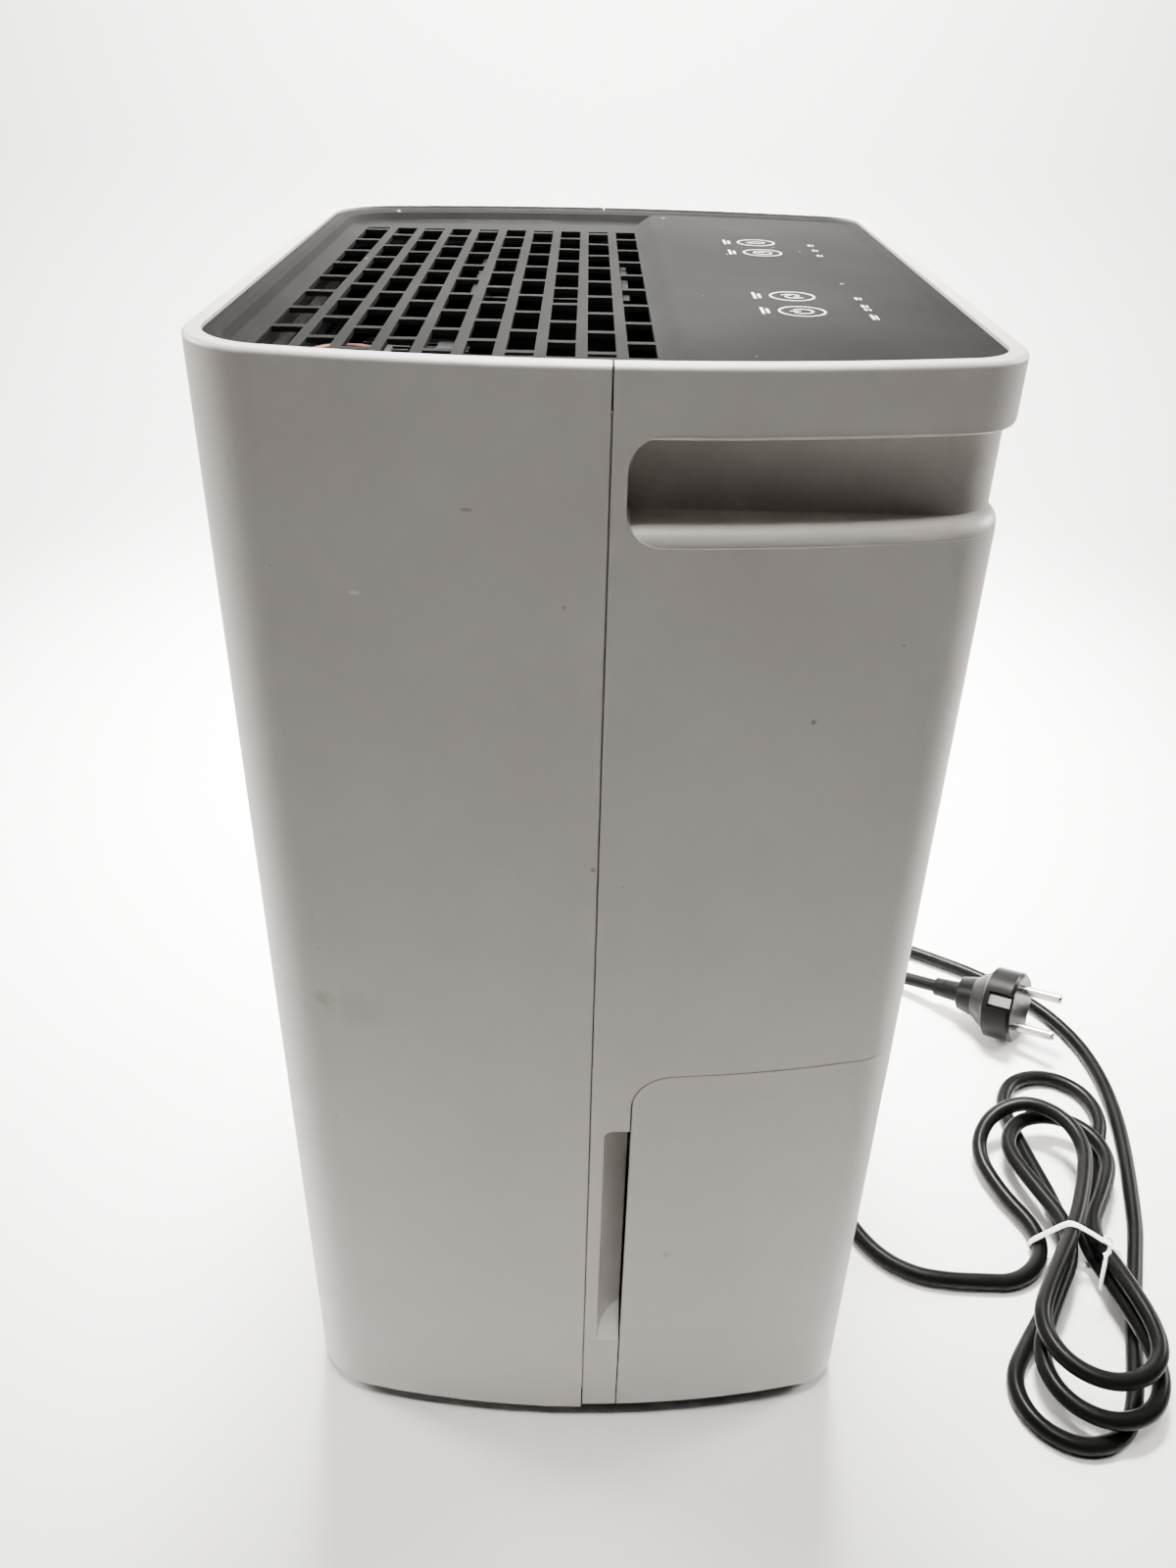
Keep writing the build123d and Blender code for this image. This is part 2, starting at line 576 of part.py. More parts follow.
def coil_block(middle_y):
    """Fin pack of a coil with its end plates: the fins stand free on both faces."""
    with BuildPart() as block:
        with BuildSketch(Plane.XY.offset(COIL_BOTTOM)):
            with Locations((0, middle_y)):
                Rectangle(2 * COIL_HALF_WIDTH, COIL_DEPTH)
            with Locations((0, middle_y - COIL_DEPTH / 2), (0, middle_y + COIL_DEPTH / 2)):
                with GridLocations(FIN_PITCH, 1, int(2 * COIL_HALF_WIDTH / FIN_PITCH), 1):
                    Rectangle(FIN_GAP, 2 * FIN_GROOVE, mode=Mode.SUBTRACT)
        extrude(amount=COIL_TOP - COIL_BOTTOM)
        with BuildSketch(Plane.XY.offset(TRAY_FLOOR)):
            with Locations((0, middle_y)):
                with GridLocations(2 * COIL_HALF_WIDTH, 1, 2, 1):
                    Rectangle(2 * END_PLATE, COIL_DEPTH)
        extrude(amount=COIL_TOP - TRAY_FLOOR)
    return block.part


def return_bends(middle_y):
    """Copper return bends on the near end plate, one above the other."""
    with BuildPart() as bends:
        for bend in range(RETURN_BENDS):
            low = COIL_BOTTOM + 20 + bend * BEND_PITCH
            high = low + 2 * BEND_RADIUS
            end_x = -COIL_HALF_WIDTH - END_PLATE
            with BuildLine(Plane.XZ.offset(-middle_y)) as bend_path:
                Line((end_x, low), (end_x - 4, low))
                ThreePointArc((end_x - 4, low), (end_x - 4 - BEND_RADIUS, low + BEND_RADIUS), (end_x - 4, high))
                Line((end_x - 4, high), (end_x, high))
            with BuildSketch(Plane(origin=(end_x, middle_y, low), z_dir=(-1, 0, 0))):
                RegularPolygon(PIPE_RADIUS, 8)
            sweep(path=bend_path.wire())
    return bends.part


def arc_radii(route, share, largest):
    """Arc at each corner of a route: it uses this share of the shorter run, up to a largest radius."""
    points = [Vector(point) for point in route]
    radii = []
    for before, here, after in zip(points, points[1:], points[2:]):
        half_turn = math.radians((here - before).get_angle(after - here)) / 2
        shorter = min((here - before).length, (after - here).length)
        radii.append(min(largest, share * shorter / math.tan(half_turn)))
    return radii


def tube(route, radius, share=0.45, largest=400.0, sides=0):
    """Tube along straight runs and tangent arcs, and the line through its middle."""
    with BuildPart() as swept:
        with BuildLine() as path:
            FilletPolyline(*route, radius=arc_radii(route, share, largest))
        wire = path.wire()
        with BuildSketch(Plane(origin=wire @ 0, z_dir=wire % 0)):
            if sides:
                RegularPolygon(radius, sides)
            else:
                Circle(radius)
        sweep(path=wire)
    return swept.part, wire


evaporator = coil_block(EVAPORATOR_Y)
condenser = coil_block(CONDENSER_Y)
evaporator_bends = return_bends(EVAPORATOR_Y)
condenser_bends = return_bends(CONDENSER_Y)

# Fan wheel: curved blades between a disc with a hub and a ring
with BuildPart() as fan_wheel:
    with BuildSketch(fan_plane(FAN_FRONT_Y)):
        Circle(FAN_RADIUS)
    extrude(amount=FAN_DISC)
    with BuildSketch(fan_plane(FAN_FRONT_Y)):
        Circle(HUB_RADIUS)
    extrude(amount=FAN_LENGTH / 2)
    with BuildSketch(fan_plane(FAN_FRONT_Y + FAN_LENGTH - FAN_DISC)):
        Circle(FAN_RADIUS)
        Circle(BLADE_ROOT, mode=Mode.SUBTRACT)
    extrude(amount=FAN_DISC)
    with BuildSketch(fan_plane(FAN_FRONT_Y + FAN_DISC)):
        with PolarLocations(0, BLADES):
            with BuildLine():
                root = (BLADE_ROOT + 0.3, 0)
                tip = (FAN_RADIUS - 0.4, BLADE_SWEEP * 0.6)
                ThreePointArc(root, ((root[0] + tip[0]) / 2, BLADE_SWEEP * 0.12), tip)
                Line(tip, (tip[0] - BLADE_THICKNESS, tip[1]))
                inner = ((root[0] + tip[0]) / 2 - 0.4, BLADE_SWEEP * 0.12 + BLADE_THICKNESS)
                ThreePointArc((tip[0] - BLADE_THICKNESS, tip[1]), inner, (root[0], BLADE_THICKNESS))
                Line((root[0], BLADE_THICKNESS), root)
            make_face()
    extrude(amount=FAN_LENGTH - 2 * FAN_DISC)
    with BuildSketch(fan_plane(FAN_FRONT_Y)):
        Circle(SHAFT_RADIUS)
    extrude(amount=FAN_LENGTH / 2, mode=Mode.SUBTRACT)

with BuildPart() as fan_shaft:
    with BuildSketch(fan_plane(SCROLL_FRONT_Y - MOTOR_LENGTH + 3)):
        Circle(SHAFT_RADIUS)
    extrude(amount=MOTOR_LENGTH - 3 + FAN_FRONT_Y - SCROLL_FRONT_Y + FAN_LENGTH / 2)

# Motor can on a flange, with the shaft's bore
with BuildPart() as fan_motor:
    with BuildSketch(fan_plane(SCROLL_FRONT_Y)):
        Circle(MOTOR_RADIUS)
    extrude(amount=-MOTOR_LENGTH)
    fillet(fan_motor.edges().group_by(Axis.Y)[0], 5)
    with BuildSketch(fan_plane(SCROLL_FRONT_Y)):
        RectangleRounded(2.6 * MOTOR_RADIUS, 18, 8)
    extrude(amount=-3)
    with BuildSketch(fan_plane(SCROLL_FRONT_Y)):
        Circle(SHAFT_RADIUS + SHAFT_PLAY)
    extrude(amount=-MOTOR_LENGTH + 2, mode=Mode.SUBTRACT)


def scroll_plan(inset, top):
    """Scroll seen from the front: a growing spiral that ends in an upright outlet."""
    def point(angle):
        share = (angle - SCROLL_START) / (360 - SCROLL_START)
        radius = SCROLL_FIRST_RADIUS + share * (SCROLL_LAST_RADIUS - SCROLL_FIRST_RADIUS) - inset
        turn = math.radians(angle)
        return (radius * math.cos(turn), FAN_Z + radius * math.sin(turn))

    step = (360 - SCROLL_START) / 4
    starts = [SCROLL_START + step * quarter for quarter in range(4)]
    with BuildSketch(Plane.XZ) as plan:
        with BuildLine():
            for start in starts:
                ThreePointArc(point(start), point(start + step / 2), point(start + step))
            tongue = point(SCROLL_START)
            outer = point(360)
            Polyline(outer, (outer[0], top), (tongue[0] + 2 * inset, top), tongue)
        make_face()
    return plan.sketch


with BuildPart() as fan_scroll:
    extrude(scroll_plan(0, SCROLL_TOP).moved(Location((0, SCROLL_BACK_Y, 0))), amount=SCROLL_BACK_Y - SCROLL_FRONT_Y)
    extrude(
        scroll_plan(SCROLL_WALL, HEIGHT).moved(Location((0, SCROLL_BACK_Y - SCROLL_WALL, 0))),
        amount=SCROLL_BACK_Y - SCROLL_FRONT_Y - 2 * SCROLL_WALL,
        mode=Mode.SUBTRACT,
    )
    with BuildSketch(fan_plane(SCROLL_BACK_Y)):
        Circle(SCROLL_INLET)
    extrude(amount=-2 * SCROLL_WALL, mode=Mode.SUBTRACT)
    with BuildSketch(fan_plane(SCROLL_FRONT_Y)):
        Circle(HUB_RADIUS)
    extrude(amount=2 * SCROLL_WALL, mode=Mode.SUBTRACT)
    with BuildSketch(Plane.XY.offset(SHELF_Z + SHELF_THICKNESS)):
        with Locations((0, SCROLL_FRONT_Y + SCROLL_WALL / 2 - 1)):
            with GridLocations(60, 1, 2, 1):
                Rectangle(12, SCROLL_WALL)
    extrude(amount=FAN_Z - SCROLL_LAST_RADIUS + 30 - SHELF_Z)

# Compressor: domed can on a foot plate, with its discharge and suction stubs
with BuildPart() as compressor:
    with BuildSketch(Plane.XY.offset(COMPRESSOR_BOTTOM)):
        with Locations((COMPRESSOR_X, COMPRESSOR_Y)):
            Circle(COMPRESSOR_RADIUS)
    extrude(amount=COMPRESSOR_TOP - COMPRESSOR_BOTTOM)
    fillet(compressor.edges().group_by(Axis.Z)[-1], COMPRESSOR_DOME)
    with BuildSketch(Plane.XY.offset(MOUNT_TOP)):
        with Locations((COMPRESSOR_X, COMPRESSOR_Y)):
            with PolarLocations(MOUNT_CIRCLE, 3, start_angle=60):
                Circle(MOUNT_RADIUS + 1)
        make_hull()
    extrude(amount=COMPRESSOR_BOTTOM - MOUNT_TOP)
    with BuildSketch(Plane.XY.offset(COMPRESSOR_TOP - 8)):
        with Locations((COMPRESSOR_X, DISCHARGE_Y)):
            Circle(PIPE_RADIUS + 1)
    extrude(amount=14)
    with BuildSketch(Plane.YZ.offset(COMPRESSOR_X + COMPRESSOR_RADIUS - 6)):
        with Locations((ACCUMULATOR_Y, ELBOW_Z)):
            Circle(PIPE_RADIUS + 2)
    extrude(amount=12)

with BuildPart() as compressor_mounts:
    with BuildSketch(Plane.XY.offset(BASE_TOP)):
        with Locations((COMPRESSOR_X, COMPRESSOR_Y)):
            with PolarLocations(MOUNT_CIRCLE, 3, start_angle=60):
                Circle(MOUNT_RADIUS)
    extrude(amount=MOUNT_TOP - BASE_TOP)

with BuildPart() as accumulator:
    with BuildSketch(Plane.XY.offset(ACCUMULATOR_BOTTOM)):
        with Locations((ACCUMULATOR_X, ACCUMULATOR_Y)):
            Circle(ACCUMULATOR_RADIUS)
    extrude(amount=ACCUMULATOR_TOP - ACCUMULATOR_BOTTOM)
    fillet(accumulator.edges().filter_by(GeomType.CIRCLE), 7)

elbow_route = [
    (ACCUMULATOR_X, ACCUMULATOR_Y, ACCUMULATOR_BOTTOM),
    (ACCUMULATOR_X, ACCUMULATOR_Y, ELBOW_Z),
    (COMPRESSOR_X + COMPRESSOR_RADIUS + 6, ACCUMULATOR_Y, ELBOW_Z),
]
suction_elbow, _ = tube(elbow_route, PIPE_RADIUS + 1)

coil_end = COIL_HALF_WIDTH + END_PLATE
discharge_route = [
    (COMPRESSOR_X, DISCHARGE_Y, COMPRESSOR_TOP + 6),
    (COMPRESSOR_X, DISCHARGE_Y, COMPRESSOR_TOP + 13.5),
    (COMPRESSOR_X + 20, DISCHARGE_Y + 1, COMPRESSOR_TOP + 13.5),
    (104, 32, COMPRESSOR_TOP + 13.5),
    (105, CONDENSER_Y - 8, COMPRESSOR_TOP + 24),
    (105, CONDENSER_Y, 214),
    (coil_end, CONDENSER_Y, 214),
]
discharge_pipe, _ = tube(discharge_route, PIPE_RADIUS - 0.5)
suction_route = [
    (coil_end, EVAPORATOR_Y, 236),
    (107, EVAPORATOR_Y, 236),
    (108, EVAPORATOR_Y - 6, 190),
    (103, ACCUMULATOR_Y + 8, 160),
    (ACCUMULATOR_X, ACCUMULATOR_Y, 156),
    (ACCUMULATOR_X, ACCUMULATOR_Y, ACCUMULATOR_TOP),
]
suction_pipe, _ = tube(suction_route, PIPE_RADIUS)

# Capillary tube: two turns lie above the coils, seen through the grille
capillary_y = (EVAPORATOR_Y + CONDENSER_Y) / 2
capillary_corner = CAPILLARY_COIL / math.cos(math.pi / 8)
capillary_route = [
    (-coil_end, CONDENSER_Y, 336),
    (-coil_end - 8, CONDENSER_Y, 336),
    (-coil_end - 8, CONDENSER_Y + 1, 352),
    (-coil_end + 20, CONDENSER_Y - 2, 354),
]
for corner in range(8 * CAPILLARY_TURNS + 1):
    turn = math.pi * (corner / 4 - 0.5) + math.pi / 8
    capillary_route.append((
        CAPILLARY_X + capillary_corner * math.cos(turn),
        capillary_y + capillary_corner * math.sin(turn),
        356 + CAPILLARY_PITCH * corner / 8,
    ))
capillary_route += [
    (CAPILLARY_X + 26, EVAPORATOR_Y - 6, 366),
    (CAPILLARY_X + 16, EVAPORATOR_Y + 10, 366),
    (-coil_end + 20, EVAPORATOR_Y + 8, 360),
    (-coil_end - 9, EVAPORATOR_Y + 1, 352),
    (-coil_end - 8, EVAPORATOR_Y, 336),
    (-coil_end, EVAPORATOR_Y, 336),
]
capillary_tube, _ = tube(capillary_route, CAPILLARY_RADIUS, share=0.48, sides=8)

with BuildPart() as run_capacitor:
    with BuildSketch(Plane.XY.offset(BASE_TOP)):
        with Locations((CAPACITOR_X, CAPACITOR_Y)):
            Circle(CAPACITOR_RADIUS)
    extrude(amount=CAPACITOR_HEIGHT)
    fillet(run_capacitor.edges().group_by(Axis.Z)[-1], 2)
    with BuildSketch(Plane.XY.offset(BASE_TOP + CAPACITOR_HEIGHT)):
        with Locations((CAPACITOR_X, CAPACITOR_Y)):
            with GridLocations(12, 1, 2, 1):
                Rectangle(1, 6)
    extrude(amount=8)

# Level sensor on the wall behind the tank, level with the float's magnet
with BuildPart() as level_sensor:
    with BuildSketch(Plane.XZ.offset(-FRAME_Y + WALL / 2)):
        with Locations((FLOAT_X, PIVOT_Z)):
            RectangleRounded(16, 30, 3)
    extrude(amount=5)

# Inlet grille: a plate of louvres that pulls off with the filter behind it
with BuildPart() as inlet_grille:
    with BuildSketch(Plane.XZ.offset(-SEAT_FRONT_Y - 0.2)):
        with Locations((0, INLET_Z)):
            RectangleRounded(2 * (INLET_HALF_WIDTH - FIT), INLET_HEIGHT - 2 * FIT, INLET_RADIUS - FIT)
            with GridLocations(LOUVRE_WIDTH + 3.5, LOUVRE_PITCH, LOUVRE_COLUMNS, LOUVRE_ROWS):
                Rectangle(LOUVRE_WIDTH, LOUVRE_HEIGHT, mode=Mode.SUBTRACT)
    extrude(amount=-(DEPTH / 2 - SEAT_FRONT_Y - 0.6))

with BuildPart() as filter_frame:
    filter_width = 2 * SEAT_HALF_WIDTH - 1.2
    filter_height = INLET_HEIGHT - 2 * SEAT_WIDTH - 1.2
    with BuildSketch(Plane.XZ.offset(-SEAT_FRONT_Y - 0.2)):
        with Locations((0, INLET_Z)):
            RectangleRounded(filter_width, filter_height, INLET_RADIUS - 3)
            with GridLocations(filter_width / 3, filter_height / 3, 3, 3):
                Rectangle(filter_width / 3 - FILTER_FRAME, filter_height / 3 - FILTER_FRAME, mode=Mode.SUBTRACT)
    extrude(amount=FILTER_DEPTH)

with BuildPart() as filter_mesh:
    with BuildSketch(Plane.XZ.offset(-SEAT_FRONT_Y - 0.2 + FILTER_DEPTH)):
        with Locations((0, INLET_Z)):
            RectangleRounded(filter_width, filter_height, INLET_RADIUS - 3)
    extrude(amount=MESH_THICKNESS)

# Tank cover, flush with the cabinet
with BuildPart() as tank_cover:
    extrude(body_plan(0, FRONT_BOTTOM), amount=TANK_TOP - FRONT_BOTTOM)
    extrude(body_plan(WALL, FRONT_BOTTOM), amount=TANK_TOP - FRONT_BOTTOM, mode=Mode.SUBTRACT)
    extrude(tank_side(TANK_EDGE_Y, TANK_TOP, 0, TANK_CORNER), amount=REACH, both=True, mode=Mode.INTERSECT)


def bucket_plan(inset, height):
    """Plan of the bucket, a box with rounded corners behind the cover."""
    front_y = -DEPTH / 2 + WALL
    with BuildSketch(Plane.XY.offset(height)) as plan:
        with Locations((0, (front_y + BUCKET_BACK_Y) / 2)):
            RectangleRounded(
                2 * (BUCKET_HALF_WIDTH - inset), BUCKET_BACK_Y - front_y - 2 * inset, BUCKET_CORNER - inset
            )
    return plan.sketch


# Bucket with two lugs for the float's pin
with BuildPart() as tank_bucket:
    extrude(bucket_plan(0, BUCKET_BOTTOM), amount=BUCKET_TOP - BUCKET_BOTTOM)
    fillet(tank_bucket.edges().group_by(Axis.Z)[0], 4)
    extrude(
        bucket_plan(BUCKET_WALL, BUCKET_BOTTOM + BUCKET_WALL), amount=BUCKET_TOP, mode=Mode.SUBTRACT
    )
    lug_root = BUCKET_BACK_Y - BUCKET_WALL / 2
    lug_tip = PIVOT_Y - 5
    for side in (-1, 1):
        with BuildSketch(Plane.YZ.offset(FLOAT_X + side * LUG_SPACING / 2 - LUG_THICKNESS / 2)):
            with BuildLine():
                top_edge = ((lug_root, PIVOT_Z + 5), (lug_tip, PIVOT_Z + 5))
                Polyline((lug_root, PIVOT_Z - 8), *top_edge, (lug_tip, PIVOT_Z - 4), close=True)
            make_face()
            with Locations((PIVOT_Y, PIVOT_Z)):
                Circle(PIVOT_RADIUS + PIVOT_PLAY, mode=Mode.SUBTRACT)
        extrude(amount=LUG_THICKNESS)

# Lid with the inlet hole under the spout
with BuildPart() as tank_lid:
    extrude(bucket_plan(0, BUCKET_TOP), amount=LID_THICKNESS)
    extrude(bucket_plan(BUCKET_WALL + FIT, BUCKET_TOP), amount=-5)
    extrude(bucket_plan(2 * BUCKET_WALL + FIT, BUCKET_TOP), amount=-5, mode=Mode.SUBTRACT)
    with BuildSketch(Plane.XY.offset(BUCKET_TOP + LID_THICKNESS)):
        with Locations((0, SPOUT_Y)):
            Circle(INLET_HOLE_RADIUS)
    extrude(amount=-LID_THICKNESS, mode=Mode.SUBTRACT)

# Float on its arm and pin
with BuildPart() as tank_float:
    with BuildSketch(Plane.YZ.offset(FLOAT_X - LUG_SPACING / 2 - LUG_THICKNESS)):
        with Locations((PIVOT_Y, PIVOT_Z)):
            Circle(PIVOT_RADIUS)
    extrude(amount=LUG_SPACING + 2 * LUG_THICKNESS)
    with BuildSketch(Plane.YZ.offset(FLOAT_X)):
        with BuildLine():
            arm_end = (PIVOT_Y - 14, PIVOT_Z - 10)
            Polyline(
                (PIVOT_Y + 2.4, PIVOT_Z + 2.4), (PIVOT_Y + 2.4, PIVOT_Z - 2.4),
                (arm_end[0], arm_end[1] - 2), (arm_end[0], arm_end[1] + 3), (PIVOT_Y - 3, PIVOT_Z + 2.4),
                close=True,
            )
        make_face()
    extrude(amount=6, both=True)
    with BuildSketch(Plane.XY.offset(PIVOT_Z - 10 - FLOAT_HEIGHT / 2)):
        with Locations((FLOAT_X, PIVOT_Y - 13 - FLOAT_DEPTH / 2)):
            RectangleRounded(FLOAT_WIDTH, FLOAT_DEPTH, 4)
    extrude(amount=FLOAT_HEIGHT)

# Strain relief of the mains lead: a ringed sleeve that narrows to the cord
with BuildPart() as cord_gland:
    with BuildSketch(Plane.XZ.offset(-GLAND_Y)):
        with BuildLine():
            sleeve = [(GLAND_ROOT_X, 0), (GLAND_ROOT_X, GLAND_RADIUS + 2.5), (GLAND_ROOT_X + 3, GLAND_RADIUS + 2.5)]
            sleeve += [(GLAND_ROOT_X + 3, GLAND_RADIUS), (GLAND_ROOT_X + 12, GLAND_RADIUS)]
            for ring in range(4):
                start = GLAND_ROOT_X + 14 + 5 * ring
                tall = GLAND_RADIUS - 0.55 * ring
                sleeve += [(start, tall), (start, tall - 1), (start + 1.5, tall - 1), (start + 1.5, tall - 0.2)]
            sleeve += [(GLAND_TIP_X, CORD_RADIUS + 1.4), (GLAND_TIP_X, 0)]
            Polyline(*[(x, GLAND_Z + r) for x, r in sleeve], close=True)
        make_face()
    revolve(axis=Axis((0, GLAND_Y, GLAND_Z), (1, 0, 0)))


def hank_place(across, along, height):
    """Point of the hank: across and along its waist, turned to lie as it does on the floor."""
    along_x, along_y = math.cos(HANK_TURN), math.sin(HANK_TURN)
    return (
        HANK_X + along * along_x + across * along_y,
        HANK_Y + along * along_y - across * along_x,
        height,
    )


def hank_lobe(middle, end, heights, turn_to):
    """Five corners of a loop's end: arcs of one radius about a middle, turning to one side."""
    corner = HANK_RADIUS / math.cos(math.radians(22.5))
    points = []
    for step, height in zip((-90, -45, 0, 45, 90), heights):
        angle = math.radians(step)
        across = middle[0] + turn_to * corner * math.sin(angle)
        points.append((across, middle[1] + end * corner * math.cos(angle), height))
    return points


def hank_corners():
    """Three turns, each a lower and an upper loop: the lead joins below the tie, and the tail turns out there."""
    low, mid, top = [CORD_RADIUS + 0.2 + HANK_STEP * turn for turn in range(3)]
    corners = [(24.5, 2, low), (20, -20, low), (16, -43, low)]
    corners += hank_lobe((-11, -67), -1, [low] * 5, -1)
    corners += [(-HANK_SLOT, 0, low + HANK_LIFT)]
    corners += hank_lobe((0, 84), 1, [low] * 5, 1)
    corners += [(HANK_SLOT + 1.2, 20, low + HANK_LIFT), (HANK_SLOT, 3, low + HANK_LIFT + 0.6), (12, -25, mid + 0.2)]
    corners += hank_lobe((-1, -60), -1, [mid + 0.4, mid, mid, mid, mid], -1)
    corners += [(-HANK_SLOT, 0, mid + HANK_LIFT)]
    corners += hank_lobe((-3, 49), 1, [mid, mid + 0.2, mid + 0.2, mid + 0.3, mid + 0.3], 1)
    corners += [(HANK_SLOT, 5, mid + HANK_LIFT), (11.5, -19, top)]
    corners += hank_lobe((-1, -49), -1, [top + 0.4, top, top, top, top], -1)
    corners += [(-HANK_SLOT, 0, top + HANK_LIFT)]
    corners += hank_lobe((-16, 47), 1, [top + 0.5, top + 1.2, top + 1.6, low + 11.5, low + 4], -1)
    corners += [(-29.5, 26, low + 1.6), (-15.2, 7.4, low + HANK_LIFT), (-15.9, -8.6, low + HANK_LIFT - 0.2)]
    corners += [(-26.8, -20.2, low), (-41.5, -22.4, low)]
    return corners


def least_gap(wire, spacing=2.0):
    """Least gap between parts of a tube that are not neighbours along it."""
    count = int(wire.length / spacing)
    points = np.array([tuple(wire @ (i / count)) for i in range(count + 1)])
    apart = np.linalg.norm(points[:, None] - points[None], axis=2)
    index = np.arange(count + 1)
    far = abs(index[:, None] - index[None]) * spacing > 4 * CORD_DIAMETER
    return apart[far].min() - CORD_DIAMETER, points


hank_route = [hank_place(*corner) for corner in hank_corners()]
cord_hank, hank_wire = tube(hank_route, CORD_RADIUS, share=0.49, largest=WAIST_RADIUS)
hank_gap, hank_points = least_gap(hank_wire)

hank_start = Vector(hank_route[0])
hank_out = Vector(hank_route[-1])
lead_aim = (Vector(hank_route[1]) - hank_start).normalized()
tail_aim = (hank_out - Vector(hank_route[-2])).normalized()
plug_aim = (Vector(PLUG_FACE) - Vector(PLUG_END)).normalized()
lead_route = LEAD_ROUTE + [tuple(hank_start - lead_aim * LEAD_RUN), tuple(hank_start)]
tail_route = [tuple(hank_out), tuple(hank_out + tail_aim * TAIL_RUN)] + TAIL_ROUTE
tail_route += [tuple(Vector(PLUG_END) - plug_aim * PLUG_RUN), PLUG_END]
cord_lead, lead_wire = tube(lead_route, CORD_RADIUS)
cord_tail, tail_wire = tube(tail_route, CORD_RADIUS)

# Twist tie: a band pulled round the strands at the waist
waist_axis = Vector(math.cos(HANK_TURN), math.sin(HANK_TURN), 0)
tie_plane = Plane(
    origin=Vector(HANK_X, HANK_Y, 0) - waist_axis * TIE_WIDTH / 2, x_dir=(0, 0, 1), z_dir=waist_axis
)
waist_points = []
for point in hank_points:
    local = tie_plane.to_local_coords(Vector(*point))
    beside = abs(local.Z - TIE_WIDTH / 2) < TIE_WIDTH and abs(local.Y) < 20
    if beside:
        waist_points.append((local.X, local.Y))


def waist_hull(reach):
    """Outline pulled tight round the strands at the waist, at a distance from them."""
    with BuildSketch(tie_plane) as hull:
        with Locations(*waist_points):
            Circle(CORD_RADIUS + reach)
        make_hull()
    return hull.sketch


with BuildPart() as cord_tie:
    extrude(waist_hull(TIE_PLAY + TIE_THICKNESS), amount=TIE_WIDTH)
    extrude(waist_hull(TIE_PLAY), amount=TIE_WIDTH, mode=Mode.SUBTRACT)

# Plug, drawn upright and then laid on the floor at the end of the lead
plug_length = (Vector(PLUG_FACE) - Vector(PLUG_END)).length
plug_place = Plane(origin=PLUG_END, x_dir=(plug_aim.Y, -plug_aim.X, 0), z_dir=plug_aim).location
with BuildPart() as plug_upright:
    with BuildSketch(Plane.XZ):
        with BuildLine():
            sleeve = [(0, 0), (4.8, 0), (5.4, 12), (8.6, 14), (10.4, 22), (15.5, 29), (PLUG_RADIUS, 31)]
            Polyline(*sleeve, (PLUG_RADIUS, plug_length - 1.5), (PLUG_RADIUS - 1.5, plug_length), (0, plug_length), close=True)
        make_face()
    revolve(axis=Axis.Z)
    with BuildSketch(Plane.XY.offset(plug_length)):
        with Locations(Rotation(0, 0, PIN_TILT)):
            with GridLocations(0, 2 * PLUG_RADIUS, 1, 2):
                Rectangle(8, 6)
    extrude(amount=-12, mode=Mode.SUBTRACT)

with BuildPart() as pins_upright:
    with BuildSketch(Plane.XY.offset(plug_length)):
        with Locations(Rotation(0, 0, PIN_TILT)):
            with GridLocations(PIN_SPACING, 1, 2, 1):
                Circle(PIN_RADIUS)
    extrude(amount=PIN_LENGTH)
    fillet(pins_upright.edges().group_by(Axis.Z)[-1], 1.2)

with BuildPart() as earth_upright:
    with BuildSketch(Plane.XY.offset(plug_length - 12)):
        with Locations(Rotation(0, 0, PIN_TILT)):
            with GridLocations(0, 2 * (PLUG_RADIUS - 2.5), 1, 2):
                Rectangle(5, 1)
    extrude(amount=11)

plug_body = plug_upright.part.moved(plug_place)
plug_pins = pins_upright.part.moved(plug_place)
plug_earth = earth_upright.part.moved(plug_place)

for name, wire, solid in (
    ("lead", lead_wire, cord_lead), ("hank", hank_wire, cord_hank), ("tail", tail_wire, cord_tail)
):
    section = math.pi * CORD_RADIUS**2 * wire.length
    print(f"{name}: {wire.length:.0f} mm long, volume to section times length {solid.volume / section:.4f}")
print("hank: least gap to itself", round(float(hank_gap), 2), "mm")
print("lead radii", [round(r) for r in arc_radii(lead_route, 0.45, 400)])
print("tail radii", [round(r) for r in arc_radii(tail_route, 0.45, 400)])
print("hank radii", [round(r) for r in arc_radii(hank_route, 0.49, WAIST_RADIUS)])

